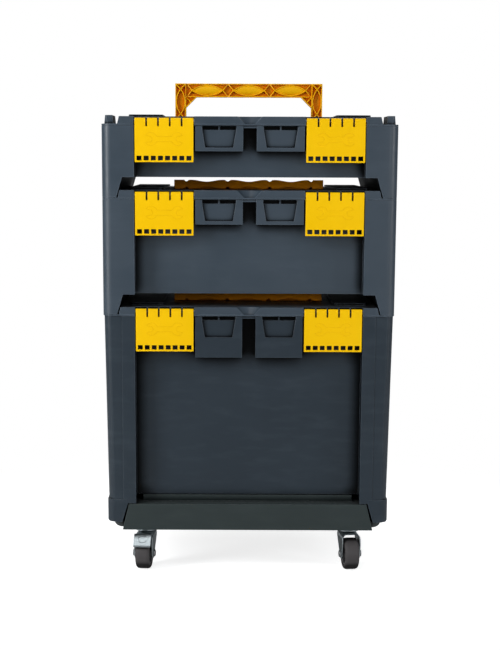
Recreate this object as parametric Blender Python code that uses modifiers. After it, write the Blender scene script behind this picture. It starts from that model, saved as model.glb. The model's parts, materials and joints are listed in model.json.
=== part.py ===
"""Rolling tool box: three stacking tool boxes on a dolly with four swivel casters.

Front is -Y, up is +Z, the origin is on the floor under the middle of the stack.
"""
import math

import bmesh
import bpy
from mathutils import Matrix, Vector

MM = 0.001
CLEAR = 0.3 * MM            # gap between two pieces that sit on or in each other

# Overall footprint shared by the three boxes
WIDTH = 445 * MM
X_SIDE = WIDTH / 2
DEPTH = 358 * MM
CORNER_R = 15 * MM
WALL = 3 * MM
COLUMN_X = X_SIDE - 48.8 * MM    # inner edge of the corner columns, from the middle
FRONT_RECESS = 24 * MM      # how far the front panel lies behind the columns
REAR_RECESS = 12 * MM

# Heights
DOLLY_BOTTOM = 69.5 * MM
BASE_T = 12.2 * MM
SKIRT_H = 41.5 * MM
DECK_H = 51.5 * MM
BOX_HEIGHTS = {"bottom": 322.5 * MM, "middle": 173.2 * MM, "top": 106.2 * MM}
POCKET_HEIGHTS = {"bottom": 63 * MM, "middle": 37 * MM, "top": 37 * MM}
PANEL_CUTS = {"bottom": 40.5 * MM, "middle": 30 * MM, "top": 30 * MM}  # underside of the floor
RIM_STEP = 0.3 * MM         # the front modules end this much under the rim
BOTTOM_SHRINK = 1.5 * MM    # the deep box is this much narrower under its lid
BOTTOM_TAPER = 5 * MM       # and loses this much more a side towards its foot band
FOOT_BAND_H = 36 * MM
FOOT_BAND_OUT = 2.2 * MM
STRIP_X = X_SIDE - 29 * MM  # edge of the raised strip on the deep box's columns
STRIP_OUT = 0.8 * MM

# Feet and side rails
FOOT_H = 30 * MM
FOOT_X_LOW = X_SIDE - 22 * MM    # inner face of a rail at its bottom
FOOT_X_HIGH = X_SIDE - 31 * MM   # and at the floor of the box

# Lid
FLANGE_T = 2.2 * MM
LID_RISE = 13.5 * MM
HAT_X_LOW = X_SIDE - 24 * MM
HAT_X_HIGH = X_SIDE - 27 * MM
HAT_SET = 0.5 * MM
LID_WALL = 2.7 * MM
PLATFORM_X = (X_SIDE - 91 * MM, X_SIDE - 39 * MM)
PLATFORM_MARGIN = 40 * MM
PLATFORM_H = 3.5 * MM
DISH_R_HIGH = 20 * MM
DISH_R_LOW = 8 * MM
BOSS_X_LOW = (X_SIDE - 13 * MM, X_SIDE - 4 * MM)
BOSS_X_HIGH = (X_SIDE - 13 * MM, X_SIDE - 8 * MM)
BOSS_H = 12.6 * MM
BOSS_LENGTH = 59 * MM
BOSS_START = 5 * MM

# Latches
LATCH_W = 88 * MM
LATCH_SIDE_GAP = 1.3 * MM    # between a latch and the corner column
LATCH_X = COLUMN_X - LATCH_SIDE_GAP - LATCH_W / 2
LATCH_H = 65.5 * MM
LATCH_T = 3 * MM
LATCH_SET = 0.4 * MM        # how far a latch lies inside the front plane
LATCH_DROP = 2 * MM         # and its crown under the lid top
KNUCKLE_R = 4.5 * MM
FINGERS = 5
FINGER_PITCH = 17.6 * MM
SLOT_W = 2.7 * MM
SLOT_L = 12.8 * MM
HOLES = 8
HOLE_PITCH = 10.65 * MM
HOLE_SIZE = 6.5 * MM
HOLE_EDGE = 2.6 * MM
LATCH_FLANGE_T = 2.2 * MM
LATCH_FLANGE_D = 5 * MM
PIN_R = 1.9 * MM
PIN_END = 7 * MM            # how far the latch rod reaches into the lid at each end
CATCH_DROP = 18 * MM
CATCH_T = 3 * MM
CATCH_SET = 6.3 * MM
HOOK_T = 3.5 * MM
HOOK_REACH = 8.4 * MM
NOTCH_DEPTH = 11.5 * MM

# Pocket modules between the latches
POCKET_X = (10.3 * MM, LATCH_X - LATCH_W / 2 - 2.7 * MM)
POCKET_SET = 1 * MM
WINDOW_HALF_HIGH = 26.5 * MM
WINDOW_HALF_LOW = 21 * MM
WINDOW_H = 32 * MM
WINDOW_DEPTH = 4 * MM
SLIT_H = 6 * MM
SLIT_DEPTH = 10 * MM
SLIT_RIB = 2 * MM
BRIDGE_H = 3.5 * MM

# Rear hinges
HINGE_X = X_SIDE - 105 * MM
HINGE_L = 70 * MM
HINGE_BRACKET_W = 16 * MM
HINGE_R = 4.5 * MM
HINGE_PIN_R = 2 * MM
HINGE_BACK = 0.5 * MM       # axis behind the rear face
HINGE_UP = 1.4 * MM         # axis above the seam
BRACKET_H = 24 * MM

# Handles
HANDLE_W = 235 * MM
LEG_W = 17 * MM
BAR_H = 21.5 * MM
HANDLE_T = 14 * MM
HANDLE_REACH = 66 * MM      # pivot axis to the outer edge of the grip bar
HANDLE_AXIS_DROP = 10 * MM  # pivot axis under the lid top
HANDLE_FOLD = math.radians(74.6)
GUSSET = 17 * MM
RIB_T = 1.7 * MM
WEB_T = 5 * MM
LENS_PITCH = 65.8 * MM
LENS_HALF = 23.2 * MM
LENS_BULGE = 7.6 * MM
LEG_LENS_HALF = 19.8 * MM
LEG_LENS_BULGE = 6.2 * MM
WELL_GAP = 0.6 * MM
WELL_WALL = 2.2 * MM
TRUNNION_R = 3.5 * MM

# Dolly
BASE_X = X_SIDE - 12.3 * MM
BASE_SET = 9 * MM
BASE_R = 22 * MM
BASE_EDGE = 8 * MM
SKIRT_X_LOW = X_SIDE - 27.5 * MM
SKIRT_X_HIGH = X_SIDE - 37.5 * MM
SKIRT_SET = 1 * MM
DECK_X = X_SIDE - 58.5 * MM
DECK_LEDGE = 25 * MM
RIB_THICK = 2.5 * MM
RIB_DEPTH = 3 * MM
RIB_PITCH_X = 80 * MM
RIB_PITCH_Y = 80 * MM
PAD_SIZE = 68 * MM
PAD_T = 8 * MM

# Casters
CASTER_X = X_SIDE - 61.5 * MM
CASTER_INSET = 48 * MM      # swivel axis behind the front (before the rear) face
CASTER_YAW = math.radians(6.4)
TRAIL = 18 * MM
WHEEL_R = 25 * MM
WHEEL_W = 23 * MM
HUB_R = 17 * MM
FORK_GAP = 26 * MM
FORK_T = 2 * MM
FORK_TOP = 58 * MM
PLATE_SIZE = 60 * MM
PLATE_T = 2.5 * MM
BEARING_R = 17 * MM
KINGPIN_R = 5 * MM
AXLE_R = 4 * MM
RIVET_SPACING = 45 * MM
RIVET_R = 2 * MM
RIVET_HEAD_R = 4.2 * MM
RIVET_HEAD_T = 2.2 * MM
RIVET_DEPTH = 6 * MM
PEDAL_W = 27 * MM
PEDAL_AXIS = (-22 * MM, 53 * MM)

# Planes that many pieces share
HINGE_OUT = HINGE_BACK + HINGE_R
Y_FRONT = -(DEPTH + HINGE_OUT) / 2
Y_REAR = Y_FRONT + DEPTH
Y_MID = Y_FRONT + DEPTH / 2
PIVOT_IN = LATCH_SET + KNUCKLE_R     # latch rod axis behind the front plane
PIVOT_DOWN = LATCH_DROP + KNUCKLE_R  # and under the lid top

COLOURS = {
    "shell": ((0.052, 0.068, 0.085), 0.45, 0.0),
    "deck": ((0.036, 0.045, 0.047), 0.5, 0.0),
    "latch": ((0.9, 0.56, 0.005), 0.38, 0.0),
    "handle": ((0.78, 0.37, 0.01), 0.42, 0.0),
    "zinc": ((0.62, 0.65, 0.68), 0.32, 1.0),
    "steel": ((0.55, 0.56, 0.58), 0.3, 1.0),
    "hub": ((0.1, 0.1, 0.105), 0.5, 0.0),
    "tyre": ((0.06, 0.056, 0.058), 0.7, 0.0),
}


def clear_scene():
    for old in list(bpy.data.objects):
        bpy.data.objects.remove(old, do_unlink=True)


def collection(name):
    made = bpy.data.collections.new(name)
    bpy.context.scene.collection.children.link(made)
    return made


clear_scene()
MODEL = collection("rolling_tool_box")
CUTTERS = collection("cutters")


def material(kind):
    if kind in bpy.data.materials:
        return bpy.data.materials[kind]
    colour, roughness, metallic = COLOURS[kind]
    made = bpy.data.materials.new(kind)
    made.use_nodes = True
    shader = made.node_tree.nodes["Principled BSDF"]
    shader.inputs["Base Color"].default_value = (*colour, 1)
    shader.inputs["Roughness"].default_value = roughness
    shader.inputs["Metallic"].default_value = metallic
    return made


def new_object(name, mesh):
    made = bpy.data.objects.new(name, mesh)
    CUTTERS.objects.link(made)
    made.hide_render = True
    made.display_type = "WIRE"
    return made


def evaluated_mesh(source):
    graph = bpy.context.evaluated_depsgraph_get()
    mesh = bpy.data.meshes.new_from_object(source.evaluated_get(graph), depsgraph=graph)
    mesh.transform(source.matrix_world)
    return mesh


def bake(source):
    """Replace an object by its evaluated shape, welded, standing at the world origin."""
    bpy.context.view_layer.update()
    mesh = evaluated_mesh(source)
    form = bmesh.new()
    form.from_mesh(mesh)
    bmesh.ops.remove_doubles(form, verts=form.verts, dist=0.000002)
    bmesh.ops.dissolve_degenerate(form, dist=0.000002, edges=form.edges)
    bmesh.ops.dissolve_limit(form, angle_limit=0.002, verts=form.verts, edges=form.edges)
    form.to_mesh(mesh)
    form.free()
    made = new_object(source.name, mesh)
    name = source.name
    bpy.data.objects.remove(source, do_unlink=True)
    made.name = name
    return made


# The three ways an outline is laid out: extruded along Z, along X or along Y
ALONG_Z = Matrix.Identity(3)
ALONG_X = Matrix(((0, 0, 1), (1, 0, 0), (0, 1, 0)))
ALONG_Y = Matrix(((1, 0, 0), (0, 0, -1), (0, 1, 0)))


def extruded(name, turn, points, low, high, holes=()):
    """A flat outline, with holes, extruded from low to high along the third direction."""
    curve = bpy.data.curves.new(name, "CURVE")
    curve.dimensions = "2D"
    curve.fill_mode = "BOTH"
    curve.extrude = (high - low) / 2
    for loop in (points, *holes):
        spline = curve.splines.new("POLY")
        spline.points.add(len(loop) - 1)
        for point, (across, up) in zip(spline.points, loop):
            point.co = (across, up, 0, 1)
        spline.use_cyclic_u = True
    made = new_object(name, curve)
    along = turn @ Vector((0, 0, 1))
    middle = Vector([abs(part) for part in along]) * (low + high) / 2
    made.matrix_world = Matrix.Translation(middle) @ turn.to_4x4()
    made = bake(made)
    form = bmesh.new()
    form.from_mesh(made.data)
    bmesh.ops.recalc_face_normals(form, faces=form.faces)
    form.to_mesh(made.data)
    form.free()
    return made


def block(name, low, high):
    size = Vector(high) - Vector(low)
    bpy.ops.mesh.primitive_cube_add(size=1, location=(Vector(low) + Vector(high)) / 2)
    made = bpy.context.object
    made.name = name
    made.scale = size
    return bake(made)


def cylinder(name, centre, radius, length, axis="Z", sides=16, radius_high=None):
    turn = {"X": (0, math.pi / 2, 0), "Y": (math.pi / 2, 0, 0), "Z": (0, 0, 0)}[axis]
    high = radius if radius_high is None else radius_high
    bpy.ops.mesh.primitive_cone_add(vertices=sides, radius1=radius, radius2=high,
                                    depth=length, location=centre, rotation=turn)
    made = bpy.context.object
    made.name = name
    return bake(made)


def turned(name, profile, steps, axis_point=(0, 0, 0), along_x=False):
    """A closed profile of (radius, height) points screwed round the Z axis, or round X."""
    mesh = bpy.data.meshes.new(name)
    rim = [(radius, 0, height) for radius, height in profile]
    edges = [(k, (k + 1) % len(rim)) for k in range(len(rim))]
    if profile[0][0] == 0:
        edges = edges[:-1]
    mesh.from_pydata(rim, edges, [])
    made = new_object(name, mesh)
    screw = made.modifiers.new("turn", "SCREW")
    screw.steps = steps
    screw.render_steps = steps
    screw.use_merge_vertices = True
    screw.merge_threshold = 0.000001
    made.location = axis_point
    if along_x:
        made.rotation_euler = (0, math.pi / 2, 0)
    made = bake(made)
    form = bmesh.new()
    form.from_mesh(made.data)
    bmesh.ops.recalc_face_normals(form, faces=form.faces)
    form.to_mesh(made.data)
    form.free()
    return made


def combine(target, tools, operation):
    """Cut the tools out of the target, join them to it, or keep what they share."""
    for tool in tools:
        change = target.modifiers.new(tool.name, "BOOLEAN")
        change.operation = operation
        change.solver = "EXACT"
        change.object = tool
    return bake(target)


def cut(target, *tools):
    return combine(target, tools, "DIFFERENCE")


def fuse(target, *tools):
    return combine(target, tools, "UNION")


def shared(target, *tools):
    return combine(target, tools, "INTERSECT")


def mirrored(source, name):
    """The same shape on the other side of the middle plane."""
    mesh = source.data.copy()
    mesh.transform(Matrix.Scale(-1, 4, Vector((1, 0, 0))))
    mesh.flip_normals()
    return new_object(name, mesh)


def mirrored_front_back(source, name):
    mesh = source.data.copy()
    mesh.transform(Matrix.Translation((0, 2 * Y_MID, 0)) @ Matrix.Scale(-1, 4, Vector((0, 1, 0))))
    mesh.flip_normals()
    return new_object(name, mesh)


def moved(source, name, shift):
    mesh = source.data.copy()
    mesh.transform(Matrix.Translation(shift))
    return new_object(name, mesh)


def arc(centre, radius, start, end, steps):
    """Points of an arc, angles in degrees."""
    found = []
    for k in range(steps + 1):
        angle = math.radians(start + (end - start) * k / steps)
        found.append((centre[0] + radius * math.cos(angle), centre[1] + radius * math.sin(angle)))
    return found


def rounded_rectangle(x_low, x_high, y_low, y_high, radius, steps=5):
    return (arc((x_high - radius, y_low + radius), radius, -90, 0, steps)
            + arc((x_high - radius, y_high - radius), radius, 0, 90, steps)
            + arc((x_low + radius, y_high - radius), radius, 90, 180, steps)
            + arc((x_low + radius, y_low + radius), radius, 180, 270, steps))


def shell_outline(inset, half_width, set_back=0.0):
    """Plan of a box body: round corner columns, front and rear panels set back."""
    half = half_width - inset
    column = COLUMN_X + inset
    radius = CORNER_R - inset
    front, rear = Y_FRONT + inset + set_back, Y_REAR - inset - set_back
    panel_front = Y_FRONT + FRONT_RECESS + inset
    panel_rear = Y_REAR - REAR_RECESS - inset
    right = ([(column, panel_front), (column, front)]
             + arc((half - radius, front + radius), radius, -90, 0, 5)
             + arc((half - radius, rear - radius), radius, 0, 90, 5)
             + [(column, rear), (column, panel_rear)])
    left = [(-x, y) for x, y in reversed(right)]
    return right + left


def finish(node, kind, smooth_angle=35):
    """Take a finished piece out of the cutters and give it its material."""
    CUTTERS.objects.unlink(node)
    MODEL.objects.link(node)
    node.hide_render = False
    node.display_type = "TEXTURED"
    node.data.materials.clear()
    node.data.materials.append(material(kind))
    node.data.shade_smooth()
    node.data.set_sharp_from_angle(angle=math.radians(smooth_angle))
    return node


def carry(name, pivot, nodes, yaw=0.0):
    """An empty on the joint's axis that carries the nodes of one moving body."""
    holder = bpy.data.objects.new(name + "_pivot", None)
    MODEL.objects.link(holder)
    place = Matrix.Translation(pivot) @ Matrix.Rotation(yaw, 4, "Z")
    holder.matrix_world = place
    bpy.context.view_layer.update()
    for node in nodes:
        if not node.get("local"):
            node.data.transform(place.inverted())
        node.parent = holder
    return holder


# ---------------------------------------------------------------- box bodies

def panel_floor_cut(name, foot, panel_cut, narrow):
    """The space under the floor, between the rails, where the lid or deck below reaches up."""
    below = foot - 2 * MM
    slope = (FOOT_X_LOW - FOOT_X_HIGH) / FOOT_H
    low, high = FOOT_X_LOW + slope * 2 * MM - narrow, FOOT_X_HIGH - narrow
    section = [(-low, below), (low, below), (high, foot + FOOT_H), (-high, foot + FOOT_H)]
    tools = [extruded(name + "_under", ALONG_Y, section, Y_FRONT - 5 * MM, Y_REAR + 5 * MM)]
    if panel_cut > FOOT_H:
        tools.append(block(name + "_under_panel",
                           (-COLUMN_X, Y_FRONT - 5 * MM, foot + FOOT_H / 2),
                           (COLUMN_X, Y_REAR + 5 * MM, foot + panel_cut)))
    return tools


def inner_plan(name, half_width, inset, low, high):
    """Prism of the box's rounded outline, a given distance inside it."""
    return extruded(name, ALONG_Z,
                    rounded_rectangle(-half_width + inset, half_width - inset, Y_FRONT + inset,
                                      Y_REAR - inset, CORNER_R - inset, 3), low, high)


def rail_hollow(name, foot, half_width, narrow):
    """The hollow inside a side rail, open downwards for the corner bosses."""
    outer = half_width - WALL
    slope = (FOOT_X_LOW - FOOT_X_HIGH) / FOOT_H
    low_in = FOOT_X_LOW + WALL - narrow
    high = FOOT_H - WALL
    section = [(low_in + slope * MM, foot - MM), (outer, foot - MM),
               (outer, foot + high), (low_in - slope * high, foot + high)]
    hollow = extruded(name, ALONG_Y, section, Y_FRONT + WALL, Y_REAR - WALL)
    return shared(hollow, inner_plan(name + "_plan", half_width, WALL, foot - 2 * MM, foot + FOOT_H))


def latch_catch(name, seam):
    """Ledge with a lip turned down, that a latch hooks under."""
    front, back = Y_FRONT + CATCH_SET, Y_FRONT + FRONT_RECESS + WALL / 2
    section = [(front, seam - CATCH_DROP), (front + CATCH_T, seam - CATCH_DROP),
               (front + CATCH_T, seam - CATCH_T), (back, seam - CATCH_T),
               (back, seam - RIM_STEP), (front, seam - RIM_STEP)]
    half = LATCH_W / 2 - LATCH_FLANGE_T - 1.2 * MM
    return extruded(name, ALONG_X, section, LATCH_X - half, LATCH_X + half)


def pocket_module(name, seam, height):
    """Hollow block with a trapezoid window, between a latch and the middle slot."""
    inner, outer = POCKET_X
    front = Y_FRONT + POCKET_SET
    back = Y_FRONT + FRONT_RECESS + WALL / 2
    middle = (inner + outer) / 2
    module = block(name, (inner, front, seam - height), (outer, back, seam))
    window = [(middle - WINDOW_HALF_LOW, seam - WINDOW_H), (middle + WINDOW_HALF_LOW, seam - WINDOW_H),
              (middle + WINDOW_HALF_HIGH, seam + MM), (middle - WINDOW_HALF_HIGH, seam + MM)]
    tools = [extruded(name + "_window", ALONG_Y, window, front - MM, front + WINDOW_DEPTH)]
    for side in (-1, 1):
        near = middle + side * SLIT_RIB / 2
        far = middle + side * (WINDOW_HALF_HIGH - 1.2 * MM)
        tools.append(block(name + "_slit", (min(near, far), front + WINDOW_DEPTH / 2, seam - SLIT_H),
                           (max(near, far), front + SLIT_DEPTH, seam + MM)))
    return cut(module, *tools)


def pocket_hollow(name, seam, height):
    inner, outer = POCKET_X
    front = Y_FRONT + POCKET_SET + SLIT_DEPTH + WALL
    return block(name, (inner + WALL, front, seam - height + WALL),
                 (outer - WALL, Y_FRONT + FRONT_RECESS + 2 * WALL, seam + MM))


def hinge_axis(seam):
    return Y_REAR + HINGE_BACK, seam + HINGE_UP


def hinge_spans():
    """X ranges of the two body knuckles and of the lid knuckle of the right-hand hinge."""
    low, high = HINGE_X - HINGE_L / 2, HINGE_X + HINGE_L / 2
    gap = 0.4 * MM
    return ((low, low + HINGE_BRACKET_W), (high - HINGE_BRACKET_W, high),
            (low + HINGE_BRACKET_W + gap, high - HINGE_BRACKET_W - gap))


def hinge_bracket(name, seam, span):
    """Gusset from the rear panel that carries one knuckle."""
    axis_y, axis_z = hinge_axis(seam)
    panel = Y_REAR - REAR_RECESS - MM
    section = [(panel, seam - BRACKET_H), (axis_y + 0.6 * HINGE_R, axis_z - 0.75 * HINGE_R),
               (axis_y - 0.5 * HINGE_R, seam - 2 * RIM_STEP), (panel, seam - 2 * RIM_STEP)]
    gusset = extruded(name, ALONG_X, section, *span)
    barrel = cylinder(name + "_barrel", ((span[0] + span[1]) / 2, axis_y, axis_z), HINGE_R,
                      span[1] - span[0] + 0.1 * MM, "X", 12)
    return fuse(gusset, barrel)


def hinge_bore(name, seam):
    axis_y, axis_z = hinge_axis(seam)
    return cylinder(name, (HINGE_X, axis_y, axis_z), HINGE_PIN_R + CLEAR, HINGE_L + 4 * MM, "X", 8)


def foot_band(name, foot, half):
    """Thicker foot of the deep box's corner columns, with a rounded lower edge."""
    band = extruded(name, ALONG_Z,
                    rounded_rectangle(COLUMN_X + 4 * MM, half, Y_FRONT, Y_REAR, CORNER_R - 4 * MM, 3),
                    foot, foot + FOOT_BAND_H)
    soften(band, foot, 3 * MM, 2)
    middle = block(name + "_middle", (COLUMN_X - MM, Y_FRONT + FRONT_RECESS + 0.6 * MM, foot - MM),
                   (COLUMN_X + 6 * MM, Y_REAR - REAR_RECESS - 0.6 * MM, foot + FOOT_BAND_H + MM))
    return cut(band, middle)


def box_body(box, foot, seam):
    name = box + "_body"
    deep = box == "bottom"
    half = X_SIDE - (BOTTOM_SHRINK if deep else 0)
    set_back = STRIP_OUT / 2 if deep else 0.0
    body = extruded(name, ALONG_Z, shell_outline(0, half, set_back), foot, seam)
    floor = foot + PANEL_CUTS[box] + WALL
    hollow = extruded(name + "_hollow", ALONG_Z, shell_outline(WALL, half, set_back),
                      floor, seam + 5 * MM)
    if deep:
        taper(body, foot, seam)
        taper(hollow, foot, seam)
        band = foot_band(name + "_band", foot, half - BOTTOM_TAPER + FOOT_BAND_OUT)
        body = fuse(body, band, mirrored(band, name + "_band_left"))
    narrow = BOTTOM_TAPER if deep else 0.0
    body = cut(body, hollow, *panel_floor_cut(name, foot, PANEL_CUTS[box], narrow))
    rail = rail_hollow(name + "_rail", foot, half - narrow, narrow)
    body = cut(body, rail, mirrored(rail, name + "_rail_left"))
    pocket = pocket_module(name + "_pocket", seam - RIM_STEP, POCKET_HEIGHTS[box])
    catch = latch_catch(name + "_catch", seam)
    brackets = [hinge_bracket(name + "_bracket", seam, span) for span in hinge_spans()[:2]]
    right = [pocket, catch, *brackets]
    body = fuse(body, *right, *[mirrored(piece, piece.name + "_left") for piece in right])
    bridge = block(name + "_bridge", (-POCKET_X[0] - MM, Y_FRONT + POCKET_SET + MM, seam - BRIDGE_H),
                   (POCKET_X[0] + MM, Y_FRONT + POCKET_SET + 4 * MM, seam - 2 * RIM_STEP))
    body = fuse(body, bridge)
    inner = pocket_hollow(name + "_pocket_in", seam, POCKET_HEIGHTS[box])
    tools = [inner, hinge_bore(name + "_bore", seam), lid_knuckle_room(name + "_room", seam)]
    if deep:
        tools.append(block(name + "_strip", (STRIP_X, Y_FRONT - MM, foot + FOOT_BAND_H + 0.2 * MM),
                           (X_SIDE + MM, Y_FRONT + STRIP_OUT + set_back, seam + MM)))
    body = cut(body, *tools, *[mirrored(piece, piece.name + "_left") for piece in tools])
    return finish(body, "shell")


def lid_knuckle_room(name, seam):
    """Space in the body's rim for the lid's knuckle to turn in."""
    axis_y, axis_z = hinge_axis(seam)
    low, high = hinge_spans()[2]
    return cylinder(name, ((low + high) / 2, axis_y, axis_z), HINGE_R + 0.6 * MM,
                    high - low + 0.6 * MM, "X", 12)


def taper(shape, foot, seam):
    """Draw the sides in towards the foot; the corner columns keep their inner edges."""
    for vertex in shape.data.vertices:
        if abs(vertex.co.x) > STRIP_X:
            share = (seam - vertex.co.z) / (seam - foot)
            vertex.co.x -= math.copysign(BOTTOM_TAPER * share, vertex.co.x)


def soften(shape, level, width, segments):
    """Round off the edges that lie at one height."""
    form = bmesh.new()
    form.from_mesh(shape.data)
    edges = [edge for edge in form.edges
             if all(abs(v.co.z - level) < 1e-6 for v in edge.verts) and len(edge.link_faces) == 2
             and edge.calc_face_angle(0) > 0.5]
    bmesh.ops.bevel(form, geom=edges, offset=width, segments=segments, affect="EDGES",
                    profile=0.5)
    form.to_mesh(shape.data)
    form.free()


# ---------------------------------------------------------------- lids

def latch_rod(name, radius, seam, slack):
    y = Y_FRONT + PIVOT_IN
    z = seam + LID_RISE - PIVOT_DOWN
    length = LATCH_W + 2 * (LATCH_SIDE_GAP + PIN_END) - 2 * slack
    return cylinder(name, (LATCH_X, y, z), radius, length, "X", 8)


def latch_rib(name, seam, x):
    """Hinge rib that stands in a slot between two latch fingers."""
    y = Y_FRONT + PIVOT_IN
    top = seam + LID_RISE
    z = top - PIVOT_DOWN
    radius = KNUCKLE_R - 0.6 * MM
    back = Y_FRONT + NOTCH_DEPTH + MM
    section = ([(back, top - MM), (y, z + radius)] + arc((y, z), radius, 110, 230, 3)
               + [(Y_FRONT + 4.3 * MM, seam + MM), (back, seam + MM)])
    half = SLOT_W / 2 - CLEAR
    return extruded(name, ALONG_X, section, x - half, x + half)


def handle_room(name, seam, grow):
    """Well for the folded handle, or the block that walls it in: a wedge under the leaning
    handle, less the island of lid between the legs, the gussets and the grip bar."""
    axis_y, axis_z = Y_MID, seam + LID_RISE - HANDLE_AXIS_DROP
    top = seam + LID_RISE + (MM if grow == 0 else -MM)
    lean = math.pi / 2 - HANDLE_FOLD
    radius = HANDLE_T / 2 + WELL_GAP + grow
    along = Vector((-math.cos(lean), math.sin(lean)))
    under = Vector((-math.sin(lean), -math.cos(lean))) * radius + Vector((axis_y, axis_z))
    end = under + along * ((top - under.y) / along.y)
    wedge = [(axis_y + radius, top), tuple(end)]
    wedge += arc((axis_y, axis_z), radius, 270 - math.degrees(lean), 360, 4)
    half = HANDLE_W / 2 + WELL_GAP + grow
    room = extruded(name, ALONG_X, wedge, -half, half)
    inner = HANDLE_W / 2 - LEG_W - WELL_GAP - grow
    bar_low = HANDLE_REACH - BAR_H
    near, far = [axis_y - math.sqrt(start ** 2 - HANDLE_AXIS_DROP ** 2) + WELL_GAP + 0.2 * MM + grow
                 for start in (bar_low, bar_low - GUSSET)]
    island = [(inner, axis_y + 20 * MM), (inner, far), (inner - GUSSET, near)]
    island += [(-x, y) for x, y in reversed(island)]
    return cut(room, extruded(name + "_island", ALONG_Z, island, seam - 20 * MM, seam + 40 * MM))


def trunnion_bore(name, seam):
    """Hole through both walls of a handle well for the handle's moulded trunnions."""
    middle = HANDLE_W / 2 - LEG_W / 2
    length = LEG_W + 2 * (WELL_GAP + WELL_WALL) + 2 * MM
    return cylinder(name, (middle, Y_MID, seam + LID_RISE - HANDLE_AXIS_DROP), TRUNNION_R + CLEAR,
                    length, "X", 10)


def latch_notch(name, seam):
    """Room for a latch in the lid's front: through the flange, then above it."""
    low, top = seam + CLEAR, seam + LID_RISE
    section = [(Y_FRONT - MM, low - MM), (Y_FRONT + 4 * MM, low - MM),
               (Y_FRONT + 4 * MM, low + FLANGE_T), (Y_FRONT + NOTCH_DEPTH, low + FLANGE_T),
               (Y_FRONT + NOTCH_DEPTH, top + MM), (Y_FRONT - MM, top + MM)]
    half = LATCH_W / 2 + LATCH_SIDE_GAP
    return extruded(name, ALONG_X, section, LATCH_X - half, LATCH_X + half)


def box_lid(box, seam):
    name = box + "_lid"
    low, top = seam + CLEAR, seam + LID_RISE
    flange_top = low + FLANGE_T
    lid = extruded(name, ALONG_Z, rounded_rectangle(-X_SIDE, X_SIDE, Y_FRONT, Y_REAR, CORNER_R),
                   low, flange_top)
    section = [(-HAT_X_LOW, low + FLANGE_T / 2), (HAT_X_LOW, low + FLANGE_T / 2),
               (HAT_X_HIGH, top), (-HAT_X_HIGH, top)]
    hat = extruded(name + "_hat", ALONG_Y, section, Y_FRONT + HAT_SET, Y_REAR - HAT_SET)
    platform = extruded(name + "_platform", ALONG_Z,
                        rounded_rectangle(PLATFORM_X[0], PLATFORM_X[1], Y_FRONT + PLATFORM_MARGIN,
                                          Y_REAR - PLATFORM_MARGIN, 6 * MM, 2),
                        top - MM, top + PLATFORM_H)
    boss_section = [(BOSS_X_LOW[0], flange_top - MM), (BOSS_X_LOW[1], flange_top - MM),
                    (BOSS_X_HIGH[1], flange_top + BOSS_H), (BOSS_X_HIGH[0], flange_top + BOSS_H)]
    boss = extruded(name + "_boss", ALONG_Y, boss_section,
                    Y_FRONT + BOSS_START, Y_FRONT + BOSS_START + BOSS_LENGTH)
    boss = shared(boss, inner_plan(name + "_boss_plan", X_SIDE, WALL + 0.8 * MM, low, top + 5 * MM))
    rear_boss = mirrored_front_back(boss, name + "_rear_boss")
    right = [platform, boss, rear_boss]
    lid = fuse(lid, hat)
    lid = fuse(lid, *right, *[mirrored(piece, piece.name + "_left") for piece in right])
    lid = cut(lid, lid_hollow(name, seam), front_dish(name, top))
    notch = latch_notch(name + "_notch", seam)
    lid = cut(lid, notch, mirrored(notch, name + "_notch_left"))
    first = LATCH_X - FINGER_PITCH * (FINGERS - 2) / 2
    right = [latch_rib(name + "_rib", seam, first + FINGER_PITCH * k) for k in range(FINGERS - 1)]
    span = hinge_spans()[2]
    axis_y, axis_z = hinge_axis(seam)
    right.append(cylinder(name + "_knuckle", ((span[0] + span[1]) / 2, axis_y, axis_z), HINGE_R,
                          span[1] - span[0], "X", 12))
    lid = fuse(lid, *right, *[mirrored(piece, piece.name + "_left") for piece in right])
    lid = fuse(lid, handle_room(name + "_well", seam, WELL_WALL))
    lid = cut(lid, handle_room(name + "_slot", seam, 0))
    tools = [latch_rod(name + "_rod_bore", PIN_R + CLEAR, seam, 0),
             trunnion_bore(name + "_trunnion_bore", seam),
             hinge_bore(name + "_bore", seam)]
    for low_x, high_x in hinge_spans()[:2]:
        tools.append(cylinder(name + "_room", ((low_x + high_x) / 2, axis_y, axis_z),
                              HINGE_R + 0.6 * MM, high_x - low_x + 0.6 * MM, "X", 12))
    lid = cut(lid, *tools, *[mirrored(piece, piece.name + "_left") for piece in tools])
    return finish(lid, "shell")


def lid_hollow(name, seam):
    """The underside of the raised centre, over the inside of the box."""
    low = seam - MM
    high = seam + LID_RISE - LID_WALL
    section = [(-HAT_X_LOW + LID_WALL, low), (HAT_X_LOW - LID_WALL, low),
               (HAT_X_HIGH - LID_WALL, high), (-HAT_X_HIGH + LID_WALL, high)]
    return extruded(name + "_hollow", ALONG_Y, section, Y_FRONT + FRONT_RECESS + WALL,
                    Y_REAR - REAR_RECESS - WALL)


def front_dish(name, top):
    """Scooped notch in the middle of the lid's front edge."""
    height = 11 * MM
    dish = cylinder(name + "_dish", (0, 0, 0), DISH_R_LOW, height + MM, "Z", 16, DISH_R_HIGH)
    dish.data.transform(Matrix.Translation((0, Y_FRONT, top - height / 2 + MM / 2))
                        @ Matrix.Scale(0.5, 4, Vector((0, 1, 0))))
    return dish


# ---------------------------------------------------------------- latches

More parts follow.
